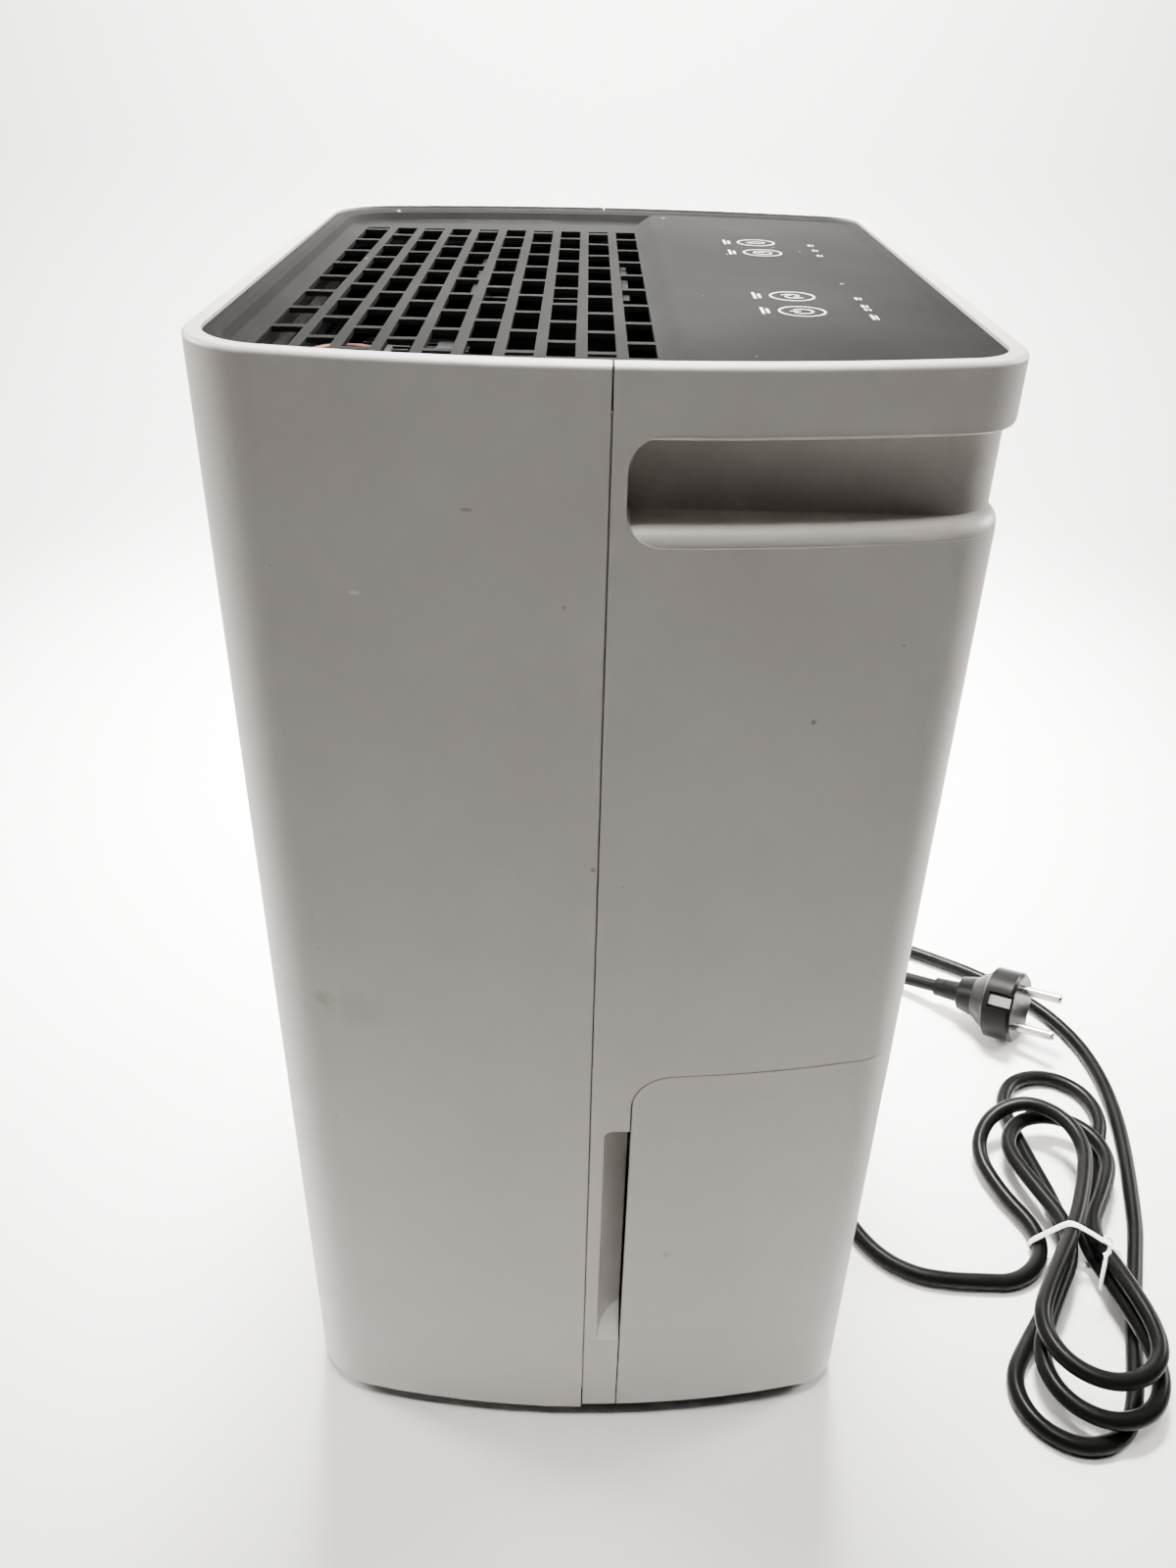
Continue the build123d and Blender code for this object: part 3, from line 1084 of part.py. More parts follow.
pieces = {
    "rear_housing": rear_housing.part, "front_housing": front_housing.part,
    "housing_screws": housing_screws.part, "top_panel": top_panel.part,
    "touch_board": touch_board.part, "base_pan": base_pan.part,
    "rubber_feet": rubber_feet.part, "inner_frame": inner_frame.part,
    "power_board": power_board.part, "drip_tray": drip_tray.part,
    "evaporator": evaporator, "condenser": condenser,
    "evaporator_bends": evaporator_bends, "condenser_bends": condenser_bends,
    "fan_scroll": fan_scroll.part, "fan_wheel": fan_wheel.part,
    "fan_shaft": fan_shaft.part, "fan_motor": fan_motor.part,
    "compressor": compressor.part, "compressor_mounts": compressor_mounts.part,
    "accumulator": accumulator.part, "suction_elbow": suction_elbow,
    "discharge_pipe": discharge_pipe, "suction_pipe": suction_pipe,
    "capillary_tube": capillary_tube, "run_capacitor": run_capacitor.part,
    "level_sensor": level_sensor.part, "inlet_grille": inlet_grille.part,
    "filter_frame": filter_frame.part, "filter_mesh": filter_mesh.part,
    "tank_cover": tank_cover.part, "tank_bucket": tank_bucket.part,
    "tank_lid": tank_lid.part, "tank_float": tank_float.part,
    "cord_gland": cord_gland.part, "cord_lead": cord_lead,
    "cord_hank": cord_hank, "cord_tail": cord_tail, "cord_tie": cord_tie.part,
    "plug_body": plug_body, "plug_pins": plug_pins, "plug_earth": plug_earth,
}
for name, solid in pieces.items():
    solid.label = name
    export_step(solid, f"parts/{name}.step")
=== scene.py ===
# %% [markdown]
# # A dehumidifier with its lead
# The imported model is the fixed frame: every CAD node is already in its place, in metres.
# This lesson gives each node its finish, and adds the soft, thin and printed things that
# a solid modeller draws poorly: the mains lead, its twist tie, the marks on the deck and
# two tongues behind the seam of the shell.
# The front faces -Y, the back +Y, and the photograph is taken from the -X side.

# %% Load the frame
import math

import bpy
import numpy as np
from mathutils import Matrix, Vector


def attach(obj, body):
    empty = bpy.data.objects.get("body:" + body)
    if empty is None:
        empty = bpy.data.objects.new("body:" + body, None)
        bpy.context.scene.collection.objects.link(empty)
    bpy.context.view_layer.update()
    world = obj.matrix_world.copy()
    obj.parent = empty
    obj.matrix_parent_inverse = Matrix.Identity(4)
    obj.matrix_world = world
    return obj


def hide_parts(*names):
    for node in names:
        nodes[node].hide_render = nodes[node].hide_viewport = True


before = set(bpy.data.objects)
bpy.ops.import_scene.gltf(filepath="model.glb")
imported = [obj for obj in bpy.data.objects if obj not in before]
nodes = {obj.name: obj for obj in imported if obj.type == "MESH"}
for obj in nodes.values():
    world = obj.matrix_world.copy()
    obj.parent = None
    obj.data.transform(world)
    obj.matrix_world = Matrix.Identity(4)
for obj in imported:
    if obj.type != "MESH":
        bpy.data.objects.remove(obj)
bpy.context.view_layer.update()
MM = 0.001

# %% [markdown]
# ## Camera
# The photograph was taken from close by with a wide lens, so the cabinet narrows towards
# the floor. A camera fitted to the cabinet's edges gives the place, the aim and the lens.
# The picture is taller than wide, so the 36 mm of the sensor lie along its height.

# %% Camera at the photograph's place
CAMERA_AT = (-0.40533, 0.00451, 0.45620)
YAW, PITCH, ROLL = 0.0113, 0.5552, -0.0247
FOCAL_PIXELS, PICTURE_HEIGHT = 1289.74, 1600
SENSOR = 36.0
NEAREST = 0.01


def camera_axes(yaw, pitch, roll):
    """Right, up and back of the camera: aim by yaw and pitch, then turn right and down by roll."""
    aim = np.array((
        math.cos(yaw) * math.cos(pitch), -math.sin(yaw) * math.cos(pitch), -math.sin(pitch)))
    right = np.array((-math.sin(yaw), -math.cos(yaw), 0.0))
    down = np.cross(aim, right)
    turned_right = math.cos(roll) * right + math.sin(roll) * down
    turned_down = math.cos(roll) * down - math.sin(roll) * right
    return turned_right, -turned_down, -aim


camera_data = bpy.data.cameras.new("camera")
camera_data.sensor_width = SENSOR
camera_data.lens = SENSOR * FOCAL_PIXELS / PICTURE_HEIGHT
camera_data.clip_start = NEAREST
camera = bpy.data.objects.new("camera", camera_data)
bpy.context.collection.objects.link(camera)
placed = np.eye(4)
placed[:3, :3] = np.stack(camera_axes(YAW, PITCH, ROLL), axis=1)
placed[:3, 3] = CAMERA_AT
camera.matrix_world = Matrix(placed.tolist())
bpy.context.scene.camera = camera
print("lens", round(camera_data.lens, 2), "mm")

# %% [markdown]
# ## Small helpers
# A mesh is put together from whole arrays. A grid of points in two directions becomes
# quads, and it can close on itself in either direction, like a tube or a ring.


# %% Mesh from arrays
def put_mesh(name, points, faces, smooth=True):
    """New object at the origin from an array of points and a list of faces."""
    mesh = bpy.data.meshes.new(name)
    corners = np.asarray(points).reshape(-1, 3).tolist()
    mesh.from_pydata(corners, [], [list(map(int, face)) for face in faces])
    mesh.polygons.foreach_set("use_smooth", np.full(len(mesh.polygons), smooth))
    mesh.update()
    piece = bpy.data.objects.new(name, mesh)
    bpy.context.collection.objects.link(piece)
    return piece


def grid_faces(rows, columns, close_rows=False, close_columns=False, start=0):
    """Quads of a grid: each joins a point, the one below it, and the two beside those."""
    row, column = np.meshgrid(
        np.arange(rows if close_rows else rows - 1),
        np.arange(columns if close_columns else columns - 1), indexing="ij",
    )
    next_row, next_column = (row + 1) % rows, (column + 1) % columns
    corners = (row * columns + column, next_row * columns + column,
               next_row * columns + next_column, row * columns + next_column)
    return start + np.stack(corners, axis=-1).reshape(-1, 4)


# %% [markdown]
# ## The mains lead
# One round cord leaves the cabinet's far side, comes round the front, is wound into three
# loose turns held by a twist tie, and ends in its plug. It is one NURBS spline: the route's
# points are its control points, so the line is smooth wherever it bends. The turns are
# given across and along the waist of the hank, in millimetres, and laid on the floor after.

# %% Points of the lead and of its loose end
CORD_DIAMETER = 0.0068
LEAD = [
    (150, 40, 32), (168, 40, 32), (187, 33, 25), (201, 16, 14), (206, -12, 6),
    (204, -46, 3.6), (195, -84, 3.6), (183, -122, 3.6), (167, -158, 3.6), (149, -191, 3.6),
    (130, -221, 3.6), (107, -244.5, 3.6), (80, -257.5, 3.6), (52, -261, 3.6),
    (24, -258.8, 3.6), (-3, -253.2, 3.6), (-28, -246.8, 3.6),
]
LOOSE_END = [
    (-62.5, -142.5, 3.6), (-54.5, -129.5, 3.6), (-40.5, -120.2, 3.6), (-21, -113.8, 3.6),
    (5, -110, 3.6), (34, -108.5, 3.6), (64, -110.5, 3.6), (87, -114.5, 3.6),
    (106.5, -122.5, 3.6), (120.5, -134.5, 4), (127.5, -150.5, 5.4),
]
PLUG_END, PLUG_FACE = np.array((112.0, -190.0, 12.3)), np.array((86.0, -226.0, 20.7))
RUN_IN, RUN_OUT, PLUG_RUN = 14, 12, (26, 7, 0)
WAIST, WAIST_TURN = np.array((-50.0, -214.0)), math.radians(-9.8)
LOOP_RADIUS, CORNER_STEP = 21.6, 45.0
LOW, MID, TOP = 3.6, 11.3, 19.0
print(len(LEAD), "points in the lead,", len(LOOSE_END), "in the loose end")


# %% Points of the turns
def turn_end(middle, end, heights, side):
    """Five corners of a turn's end, set so that its circle touches the runs between them."""
    angle = np.radians(CORNER_STEP * np.arange(-2, 3))
    corner = LOOP_RADIUS / math.cos(math.radians(CORNER_STEP / 2))
    across = middle[0] + side * corner * np.sin(angle)
    along = middle[1] + end * corner * np.cos(angle)
    return np.stack((across, along, np.array(heights)), axis=1)


def wound_corners():
    """Three turns, each through the waist twice and a layer higher: across, along, height."""
    return np.concatenate((
        [(24.5, 2, LOW), (20, -20, LOW), (16, -43, LOW)],
        turn_end((-11, -67), -1, [LOW] * 5, -1),
        [(-26.4, -49.4, LOW + 0.4), (1.5, 0, LOW + 1.4), (-19.2, 64.8, LOW + 0.3)],
        turn_end((0, 84), 1, [LOW] * 5, 1),
        [(19.3, 64.8, LOW + 0.4), (4.8, 20, LOW + 1.4), (3.6, 3, LOW + 2.0)],
        [(12, -25, MID + 0.2), (18.2, -40.8, MID + 0.3)],
        turn_end((-1, -60), -1, [MID + 0.4, MID, MID, MID, MID], -1),
        [(-18.5, -41.4, MID + 0.4), (-0.5, 0, MID + 1.4), (-18.5, 31.3, MID + 0.5)],
        turn_end((-3, 49), 1, [MID, MID + 0.2, MID + 0.2, MID + 0.3, MID + 0.3], 1),
        [(14.8, 30.3, MID + 0.8), (3.6, 5, MID + 1.4), (11.5, -19, TOP)],
        turn_end((-1, -49), -1, [TOP + 0.4, TOP, TOP, TOP, TOP], -1),
        [(-18.1, -30.6, TOP + 0.5), (-3.6, 0, TOP + 1.4), (4.3, 27.5, TOP + 0.9)],
        turn_end((-16, 47), 1, [TOP + 0.5, TOP + 1.2, TOP + 1.6, LOW + 11.5, LOW + 4], -1),
        [(-29.5, 26, LOW + 1.6), (-15.2, 7.4, LOW + 1.4), (-15.9, -8.6, LOW + 1.2)],
        [(-26.8, -20.2, LOW), (-41.5, -22.4, LOW)],
    ))


def lay_down(corners):
    """Across, along and height to X, Y and Z: turn by the waist's angle, move to its place."""
    along = np.array((math.cos(WAIST_TURN), math.sin(WAIST_TURN)))
    across = np.array((along[1], -along[0]))
    plan = WAIST + corners[..., :1] * across + corners[..., 1:2] * along
    return np.concatenate((plan, corners[..., 2:]), axis=-1)


def unit(step):
    """A step scaled to length one."""
    return step / np.linalg.norm(step)


wound = lay_down(wound_corners())
into_turns = wound[0] - unit(wound[1] - wound[0]) * RUN_IN
out_of_turns = wound[-1] + unit(wound[-1] - wound[-2]) * RUN_OUT
plug_way = unit(PLUG_FACE - PLUG_END)
into_plug = [PLUG_END - plug_way * run for run in PLUG_RUN]
cord_points = np.concatenate((LEAD, [into_turns], wound, [out_of_turns], LOOSE_END, into_plug)) * MM
print(len(cord_points), "points,", len(wound), "of them in the turns")

# %% Spline through the points
SPLINE_ORDER, SPLINE_STEPS, ROUND_STEPS = 3, 8, 5


def smooth_line(name, points, radius):
    """One open NURBS spline with the points as its control points, each with the cord's radius."""
    curve = bpy.data.curves.new(name, "CURVE")
    curve.dimensions = "3D"
    spline = curve.splines.new("NURBS")
    spline.points.add(len(points) - 1)
    spline.points.foreach_set("co", np.c_[points, np.ones(len(points))].ravel())
    spline.points.foreach_set("radius", np.full(len(points), radius))
    spline.order_u = SPLINE_ORDER
    spline.use_endpoint_u = True
    spline.resolution_u = SPLINE_STEPS
    curve.bevel_depth = 1.0
    curve.bevel_resolution = ROUND_STEPS
    curve.use_fill_caps = True
    piece = bpy.data.objects.new(name, curve)
    bpy.context.collection.objects.link(piece)
    return piece


cord = smooth_line("mains_cord", cord_points, CORD_DIAMETER / 2)
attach(cord, "housing")
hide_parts("cord_lead", "cord_hank", "cord_tail")
print("cord laid")

# %% [markdown]
# ## The twist tie
# A soft white strip with a wire in its middle is wrapped once round the waist, and its two
# ends are twisted together and left trailing. A strip is a flat section carried along a path.
# The wrap's path is the smooth outline round the strands: at each direction, the strands that
# lie furthest out that way are weighed together, and the path stands off by half a cord.

# %% Strip along a path
STRIP_HALF, STRIP_THICK = 1.5, 0.3
WIRE_BULGE, WIRE_HALF = 0.45, 0.55
SECTION_STEPS, WRAP_STEPS = 14, 72
OUTER_WEIGHT, STAND_OFF = 0.4, 4.6
LEAN_AT, LEAN_SLOPE = -4, -0.22
STRANDS = np.array(
    ((-15.5, 4.9), (-5.2, 4.7), (6.2, 7.4), (-5.0, 12.5), (7.0, 15.4), (-5.6, 20.2)))


def strip_section():
    """Closed section: a flat oval whose height swells in the middle, where the wire lies."""
    angle = np.linspace(0, 2 * math.pi, SECTION_STEPS, endpoint=False)
    wide = STRIP_HALF * np.cos(angle)
    high = (STRIP_THICK + WIRE_BULGE * np.exp(-(wide / WIRE_HALF) ** 2)) * np.sin(angle)
    return wide, high


def strip_points(path, flat, out):
    """Section along a path: the path, plus its width along flat, plus its height along out."""
    wide, high = strip_section()
    return path[:, None] + wide[None, :, None] * flat[:, None] + high[None, :, None] * out[:, None]


def wrap_path(strands):
    """Outline: the strands' mean, weighed by how far out they lie, plus a stand-off that way."""
    angle = np.linspace(0, 2 * math.pi, WRAP_STEPS, endpoint=False)
    out = np.stack((np.cos(angle), np.sin(angle)), axis=1)
    weight = np.exp(OUTER_WEIGHT * (out @ strands.T))
    return (weight / weight.sum(axis=1, keepdims=True)) @ strands + STAND_OFF * out, out


ring, ring_out = wrap_path(STRANDS)
lean = LEAN_AT + LEAN_SLOPE * ring[:, 0]
ring_path = np.stack((ring[:, 0], lean, ring[:, 1]), axis=1)
ring_flat = np.tile((0.0, 1.0, 0.0), (len(ring), 1))
ring_normal = np.stack((ring_out[:, 0], np.zeros(len(ring)), ring_out[:, 1]), axis=1)
ring_points = strip_points(ring_path, ring_flat, ring_normal)
print("wrap is", np.round(np.ptp(ring_path, axis=0), 1).tolist(), "mm")

# %% Twisted ends of the tie
END_STEPS, GUIDE_DEGREE = 40, 3
TWIST_RATE, TWIST_UNTIL, TWIST_RADIUS = 16, 0.45, 0.75
APART_AT, APART_OVER = 0.5, 0.15
KNOT = (7.5, -4, 19.9)
NEAR_GUIDE = [KNOT, (7.4, -9, 20.7), (6.2, -15, 19.6), (4.4, -21, 16.8), (3.4, -26, 13.6)]
FAR_GUIDE = [KNOT, (10.4, -8, 19.4), (13.6, -12, 16.6), (15.8, -17, 13.2), (16.8, -22, 11.0)]


def tie_end(guide, phase):
    """End of the tie: a smooth line over its guide that winds about the other end, and turns."""
    guide = np.asarray(guide, float)
    place = np.linspace(0, 1, END_STEPS)
    knots = np.linspace(0, 1, len(guide))
    fit = [np.polyval(np.polyfit(knots, guide[:, axis], GUIDE_DEGREE), place) for axis in range(3)]
    along = np.gradient(np.stack(fit, axis=1), axis=0)
    along /= np.linalg.norm(along, axis=1, keepdims=True)
    side = np.cross(along, (0.0, 0.0, 1.0))
    side /= np.linalg.norm(side, axis=1, keepdims=True)
    lift = np.cross(side, along)
    turn = phase + TWIST_RATE * np.minimum(place, TWIST_UNTIL)
    wind = TWIST_RADIUS * np.clip((APART_AT - place) / APART_OVER, 0, 1)
    flat = np.cos(turn)[:, None] * side + np.sin(turn)[:, None] * lift
    out = np.cross(along, flat)
    return strip_points(np.stack(fit, axis=1) + wind[:, None] * out, flat, out)


def end_faces(rows, columns, start):
    """Faces of a strip with two ends: the grid closed round its section, and a cap at each end."""
    first = np.arange(columns) + start
    last = first + (rows - 1) * columns
    sides = grid_faces(rows, columns, close_columns=True, start=start).tolist()
    return sides + [first.tolist(), last[::-1].tolist()]


near_end, far_end = tie_end(NEAR_GUIDE, 0.0), tie_end(FAR_GUIDE, math.pi)
tie_points = np.concatenate([part.reshape(-1, 3) for part in (ring_points, near_end, far_end)])
columns = ring_points.shape[1]
tie_faces = grid_faces(len(ring_points), columns, True, True).tolist()
tie_faces += end_faces(len(near_end), columns, len(ring_points) * columns)
tie_faces += end_faces(len(far_end), columns, (len(ring_points) + len(near_end)) * columns)
tie = put_mesh("twist_tie", lay_down(tie_points) * MM, tie_faces)
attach(tie, "housing")
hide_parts("cord_tie")
print("tie of", len(tie_faces), "faces")

# %% [markdown]
# ## Marks printed on the deck
# White ink on the dark deck shows four touch keys, each a ring with a plain sign in it, two
# short dashes beside each ring and a row of lamp marks. A stroke is a flat strip along a
# path: two points beside each point of the path, half a width away at right angles to it.

# %% Strokes of the ink
DECK_Z, INK = 387.4, 0.07
ARC_STEPS, LINE_STEPS = 49, 3


def stroke(path, width):
    """Points left and right of a path on the deck by half the width, with their faces."""
    path = np.asarray(path, float)
    along = np.gradient(path, axis=0)
    along /= np.linalg.norm(along, axis=1, keepdims=True)
    side = np.stack((along[:, 1], -along[:, 0]), axis=1) * width / 2
    return np.stack((path + side, path - side), axis=1).reshape(-1, 2), grid_faces(len(path), 2)


def arc(centre, radius, start=0.0, end=2 * math.pi, grow=0.0):
    """Points of an arc whose radius grows by a share of itself from its start to its end."""
    angle = np.linspace(start, end, ARC_STEPS)
    reach = radius * (1 + grow * np.linspace(0, 1, ARC_STEPS))
    return np.stack((centre[0] + reach * np.cos(angle), centre[1] + reach * np.sin(angle)), axis=1)


def drop(centre, half_width, half_height):
    """Points of a drop: its width goes as the sine times the sine of the half angle."""
    angle = np.linspace(0, 2 * math.pi, ARC_STEPS)
    across = centre[0] + half_width * np.sin(angle) * np.sin(angle / 2)
    return np.stack((across, centre[1] + half_height * np.cos(angle)), axis=1)


def line(start, end):
    """Points of a straight stroke."""
    return np.linspace(start, end, LINE_STEPS)


# %% Keys, dashes and lamp marks
KEY_XS, KEY_Y, KEY_RADIUS = (-55.5, -35.5, 35.5, 55.5), -53.0, 6.1
POWER_X, FAN_X, CLOCK_X, DROP_X = KEY_XS
RING_WIDE, SIGN_WIDE, DASH_WIDE = 0.55, 0.5, 0.75
DASHES = ((10.6, -4.0, 4.0), (9.2, -3.1, 2.3))
LAMP_MARKS = (
    (-61, 5.6), (-51.6, 2.2), (-47.2, 3.2), (-37, 2.8), (32, 2.4), (42, 2.4), (52, 2.8))
LAMP_Y, LAMP_WIDE = -70.6, 0.8
UNDER_Y, UNDER_WIDE = -71.7, 0.5
strokes = [
    (arc((POWER_X, KEY_Y - 0.2), 2.7, math.radians(120), math.radians(420)), RING_WIDE),
    (line((POWER_X, KEY_Y + 0.4), (POWER_X, KEY_Y + 3.3)), RING_WIDE),
    (arc((FAN_X, KEY_Y), 1.1, 0.2, 4.2, 1.9), SIGN_WIDE),
    (arc((FAN_X, KEY_Y), 1.1, 3.34, 7.34, 1.9), SIGN_WIDE),
    (arc((CLOCK_X, KEY_Y), 2.9), SIGN_WIDE),
    (line((CLOCK_X, KEY_Y + 1.9), (CLOCK_X, KEY_Y)), SIGN_WIDE),
    (line((CLOCK_X, KEY_Y), (CLOCK_X + 1.5, KEY_Y - 0.7)), SIGN_WIDE),
    (drop((DROP_X, KEY_Y + 0.2), 2.2, 3.0), SIGN_WIDE),
]
strokes += [(arc((x, KEY_Y), KEY_RADIUS), RING_WIDE) for x in KEY_XS]
for x in KEY_XS:
    for up, left, right in DASHES:
        strokes += [(line((x + left, KEY_Y + up), (x + right, KEY_Y + up)), DASH_WIDE)]
for x, length in LAMP_MARKS:
    strokes += [(line((x - length / 2, LAMP_Y), (x + length / 2, LAMP_Y)), LAMP_WIDE)]
    strokes += [(line((x - length / 2, UNDER_Y), (x + length / 3, UNDER_Y)), UNDER_WIDE)]
print(len(strokes), "strokes of ink")

# %% Ink on the deck
ink_points, ink_faces, used = [], [], 0
for path, width in strokes:
    points, faces = stroke(path, width)
    ink_points.append(points)
    ink_faces.append(faces + used)
    used += len(points)
flat_ink = np.c_[np.concatenate(ink_points), np.full(used, DECK_Z + INK)]
marks = put_mesh("deck_marks", flat_ink * MM, np.concatenate(ink_faces), False)
thick = marks.modifiers.new("ink_depth", "SOLIDIFY")
thick.thickness, thick.offset = INK * MM, -1.0
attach(marks, "housing")
print("ink of", used, "points")

# %% [markdown]
# ## Tongues behind the seam
# The two halves of the shell meet at a narrow gap on each side. A thin tongue of the same
# plastic lies behind each gap, so no light shows through it and the gap is a soft grey line.

# %% Tongues of the shell
TONGUE_X, TONGUE_Y, TONGUE_Z = (120.9, 121.95), (-3.2, 0.6), (14.0, 378.0)
BLOCK_FACES = np.array(
    [(0, 1, 3, 2), (4, 6, 7, 5), (0, 4, 5, 1), (2, 3, 7, 6), (0, 2, 6, 4), (1, 5, 7, 3)])


def block(across, along, up):
    """Eight corners of a box: each takes X, Y and Z from the low or the high end of a range."""
    return np.array([(x, y, z) for x in across for y in along for z in up])


far_block = block(TONGUE_X, TONGUE_Y, TONGUE_Z)
near_block = block((-TONGUE_X[1], -TONGUE_X[0]), TONGUE_Y, TONGUE_Z)
tongues = put_mesh("seam_tongues", np.concatenate((far_block, near_block)) * MM,
                   np.concatenate((BLOCK_FACES, BLOCK_FACES + len(far_block))), False)
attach(tongues, "housing")
print("tongues behind the seam")

# %% [markdown]
# ## Shared effects
# Several finishes share the same things: the fine grain of a moulding tool with large faint
# patches, dust that settles as separate specks, a rubbed spot with a ragged edge, and the
# lines that drawing or brushing leaves in metal. Each is a node group that puts out masks.

# %% Node helpers
FLOAT, VECTOR = "NodeSocketFloat", "NodeSocketVector"


def put(tree, kind, inputs=None, **settings):
    """New node with its settings; each input is linked from an output or set to a value."""
    node = tree.nodes.new(kind)
    for key, value in settings.items():
        setattr(node, key, value)
    for key, value in (inputs or {}).items():
        if isinstance(value, bpy.types.NodeSocket):
            tree.links.new(value, node.inputs[key])
        else:
            node.inputs[key].default_value = value
    return node


def maths(tree, operation, *values):
    """Result of a sum on numbers or outputs."""
    return put(tree, "ShaderNodeMath", dict(enumerate(values)), operation=operation).outputs[0]


def vectors(tree, operation, *values):
    """Outputs of a sum on vectors."""
    return put(tree, "ShaderNodeVectorMath", dict(enumerate(values)), operation=operation).outputs


def noise(tree, place, scale, detail, **more):
    """Cloudy noise at a place, from 0 to 1."""
    inputs = {"Vector": place, "Scale": scale, "Detail": detail, **more}
    return put(tree, "ShaderNodeTexNoise", inputs).outputs["Fac"]


def new_group(name, inputs, output_names):
    """Node group with named sockets; gives the tree, the point, what comes in and what goes out."""
    tree = bpy.data.node_groups.new(name, "ShaderNodeTree")
    for label, kind, value in inputs:
        tree.interface.new_socket(label, in_out="INPUT", socket_type=kind).default_value = value
    for label in output_names:
        tree.interface.new_socket(label, in_out="OUTPUT", socket_type=FLOAT)
    given = tree.nodes.new("NodeGroupInput").outputs
    out = tree.nodes.new("NodeGroupOutput").inputs
    return tree, put(tree, "ShaderNodeTexCoord").outputs["Object"], given, out


# %% Moulded grain and settled dust
grain_group, place, given, out = new_group(
    "moulded_grain", [("Grain", FLOAT, 2400), ("Patch", FLOAT, 28)], ["Grain", "Patch"])
fine = noise(grain_group, place, given["Grain"], 3.0)
wide = noise(grain_group, place, given["Patch"], 5.0, Roughness=0.6)
grain_group.links.new(fine, out["Grain"])
grain_group.links.new(wide, out["Patch"])

dust_group, place, given, out = new_group(
    "settled_dust", [("Cells", FLOAT, 160), ("Share", FLOAT, 0.2), ("Size", FLOAT, 0.1)], ["Dust"])
cells = put(dust_group, "ShaderNodeTexVoronoi", {"Vector": place, "Scale": given["Cells"]}).outputs
picked = put(dust_group, "ShaderNodeSeparateColor", {"Color": cells["Color"]}).outputs
chosen = maths(dust_group, "LESS_THAN", picked["Red"], given["Share"])
speck = maths(dust_group, "MULTIPLY", given["Size"], picked["Green"])
near = maths(dust_group, "LESS_THAN", cells["Distance"], speck)
dust_group.links.new(maths(dust_group, "MULTIPLY", chosen, near), out["Dust"])
print("grain and dust groups made")

# %% Rubbed spot and drawn lines
TEAR, SPOT_EDGE, SPOT_FULL = 1.6, 1.75, 0.9
spot_group, place, given, out = new_group("rubbed_spot", [
    ("Place", VECTOR, (0, 0, 0)), ("Reach", VECTOR, (0.01, 0.01, 0.01)), ("Ragged", FLOAT, 300),
], ["Spot"])
away = vectors(spot_group, "SUBTRACT", place, given["Place"])[0]
share = vectors(spot_group, "DIVIDE", away, given["Reach"])[0]
length = vectors(spot_group, "LENGTH", share)["Value"]
torn = noise(spot_group, place, given["Ragged"], 4.0)
edge = maths(spot_group, "MULTIPLY_ADD", torn, TEAR, length)
spot = put(spot_group, "ShaderNodeMapRange",
           {"Value": edge, "From Min": SPOT_EDGE, "From Max": SPOT_FULL}).outputs["Result"]
spot_group.links.new(spot, out["Spot"])

lines_group, place, given, out = new_group(
    "drawn_lines", [("Stretch", VECTOR, (40, 2000, 2000))], ["Lines"])
pulled = vectors(lines_group, "MULTIPLY", place, given["Stretch"])[0]
lines_group.links.new(noise(lines_group, pulled, 1.0, 2.0), out["Lines"])
print(len(bpy.data.node_groups), "node groups")

# %% [markdown]
# ## Moulded plastics
# Most of the pieces are injection mouldings. The tool's surface leaves a grain too fine to see
# singly, the resin cools unevenly, so colour and gloss drift a little over a hand's width, and
# dust lies on it. One function makes them all, and each finish brings its own values.

# %% Finishes of moulded pieces
GRAIN_DEPTH, LINE_DEPTH = 0.0002, 0.0001


def new_finish(name):
    """Material with its node tree and its shader."""
    material = bpy.data.materials.new(name)
    material.use_nodes = True
    return material, material.node_tree, material.node_tree.nodes["Principled BSDF"]


def mixed(tree, share, first, second):
    """Colour between two colours by a share, each an output or four numbers."""
    inputs = {0: share, 6: first, 7: second}
    return put(tree, "ShaderNodeMix", inputs, data_type="RGBA").outputs[2]


def ranged(tree, value, low, high, start=0.3, end=0.7):
    """Value stretched from start and end to low and high."""
    inputs = {"Value": value, "From Min": start, "From Max": end, "To Min": low, "To Max": high}
    return put(tree, "ShaderNodeMapRange", inputs).outputs["Result"]


def bumped(tree, shader, height, strength, depth):
    """Bump by a height into the shader's normal."""
    inputs = {"Height": height, "Strength": strength, "Distance": depth}
    tree.links.new(put(tree, "ShaderNodeBump", inputs).outputs["Normal"], shader.inputs["Normal"])


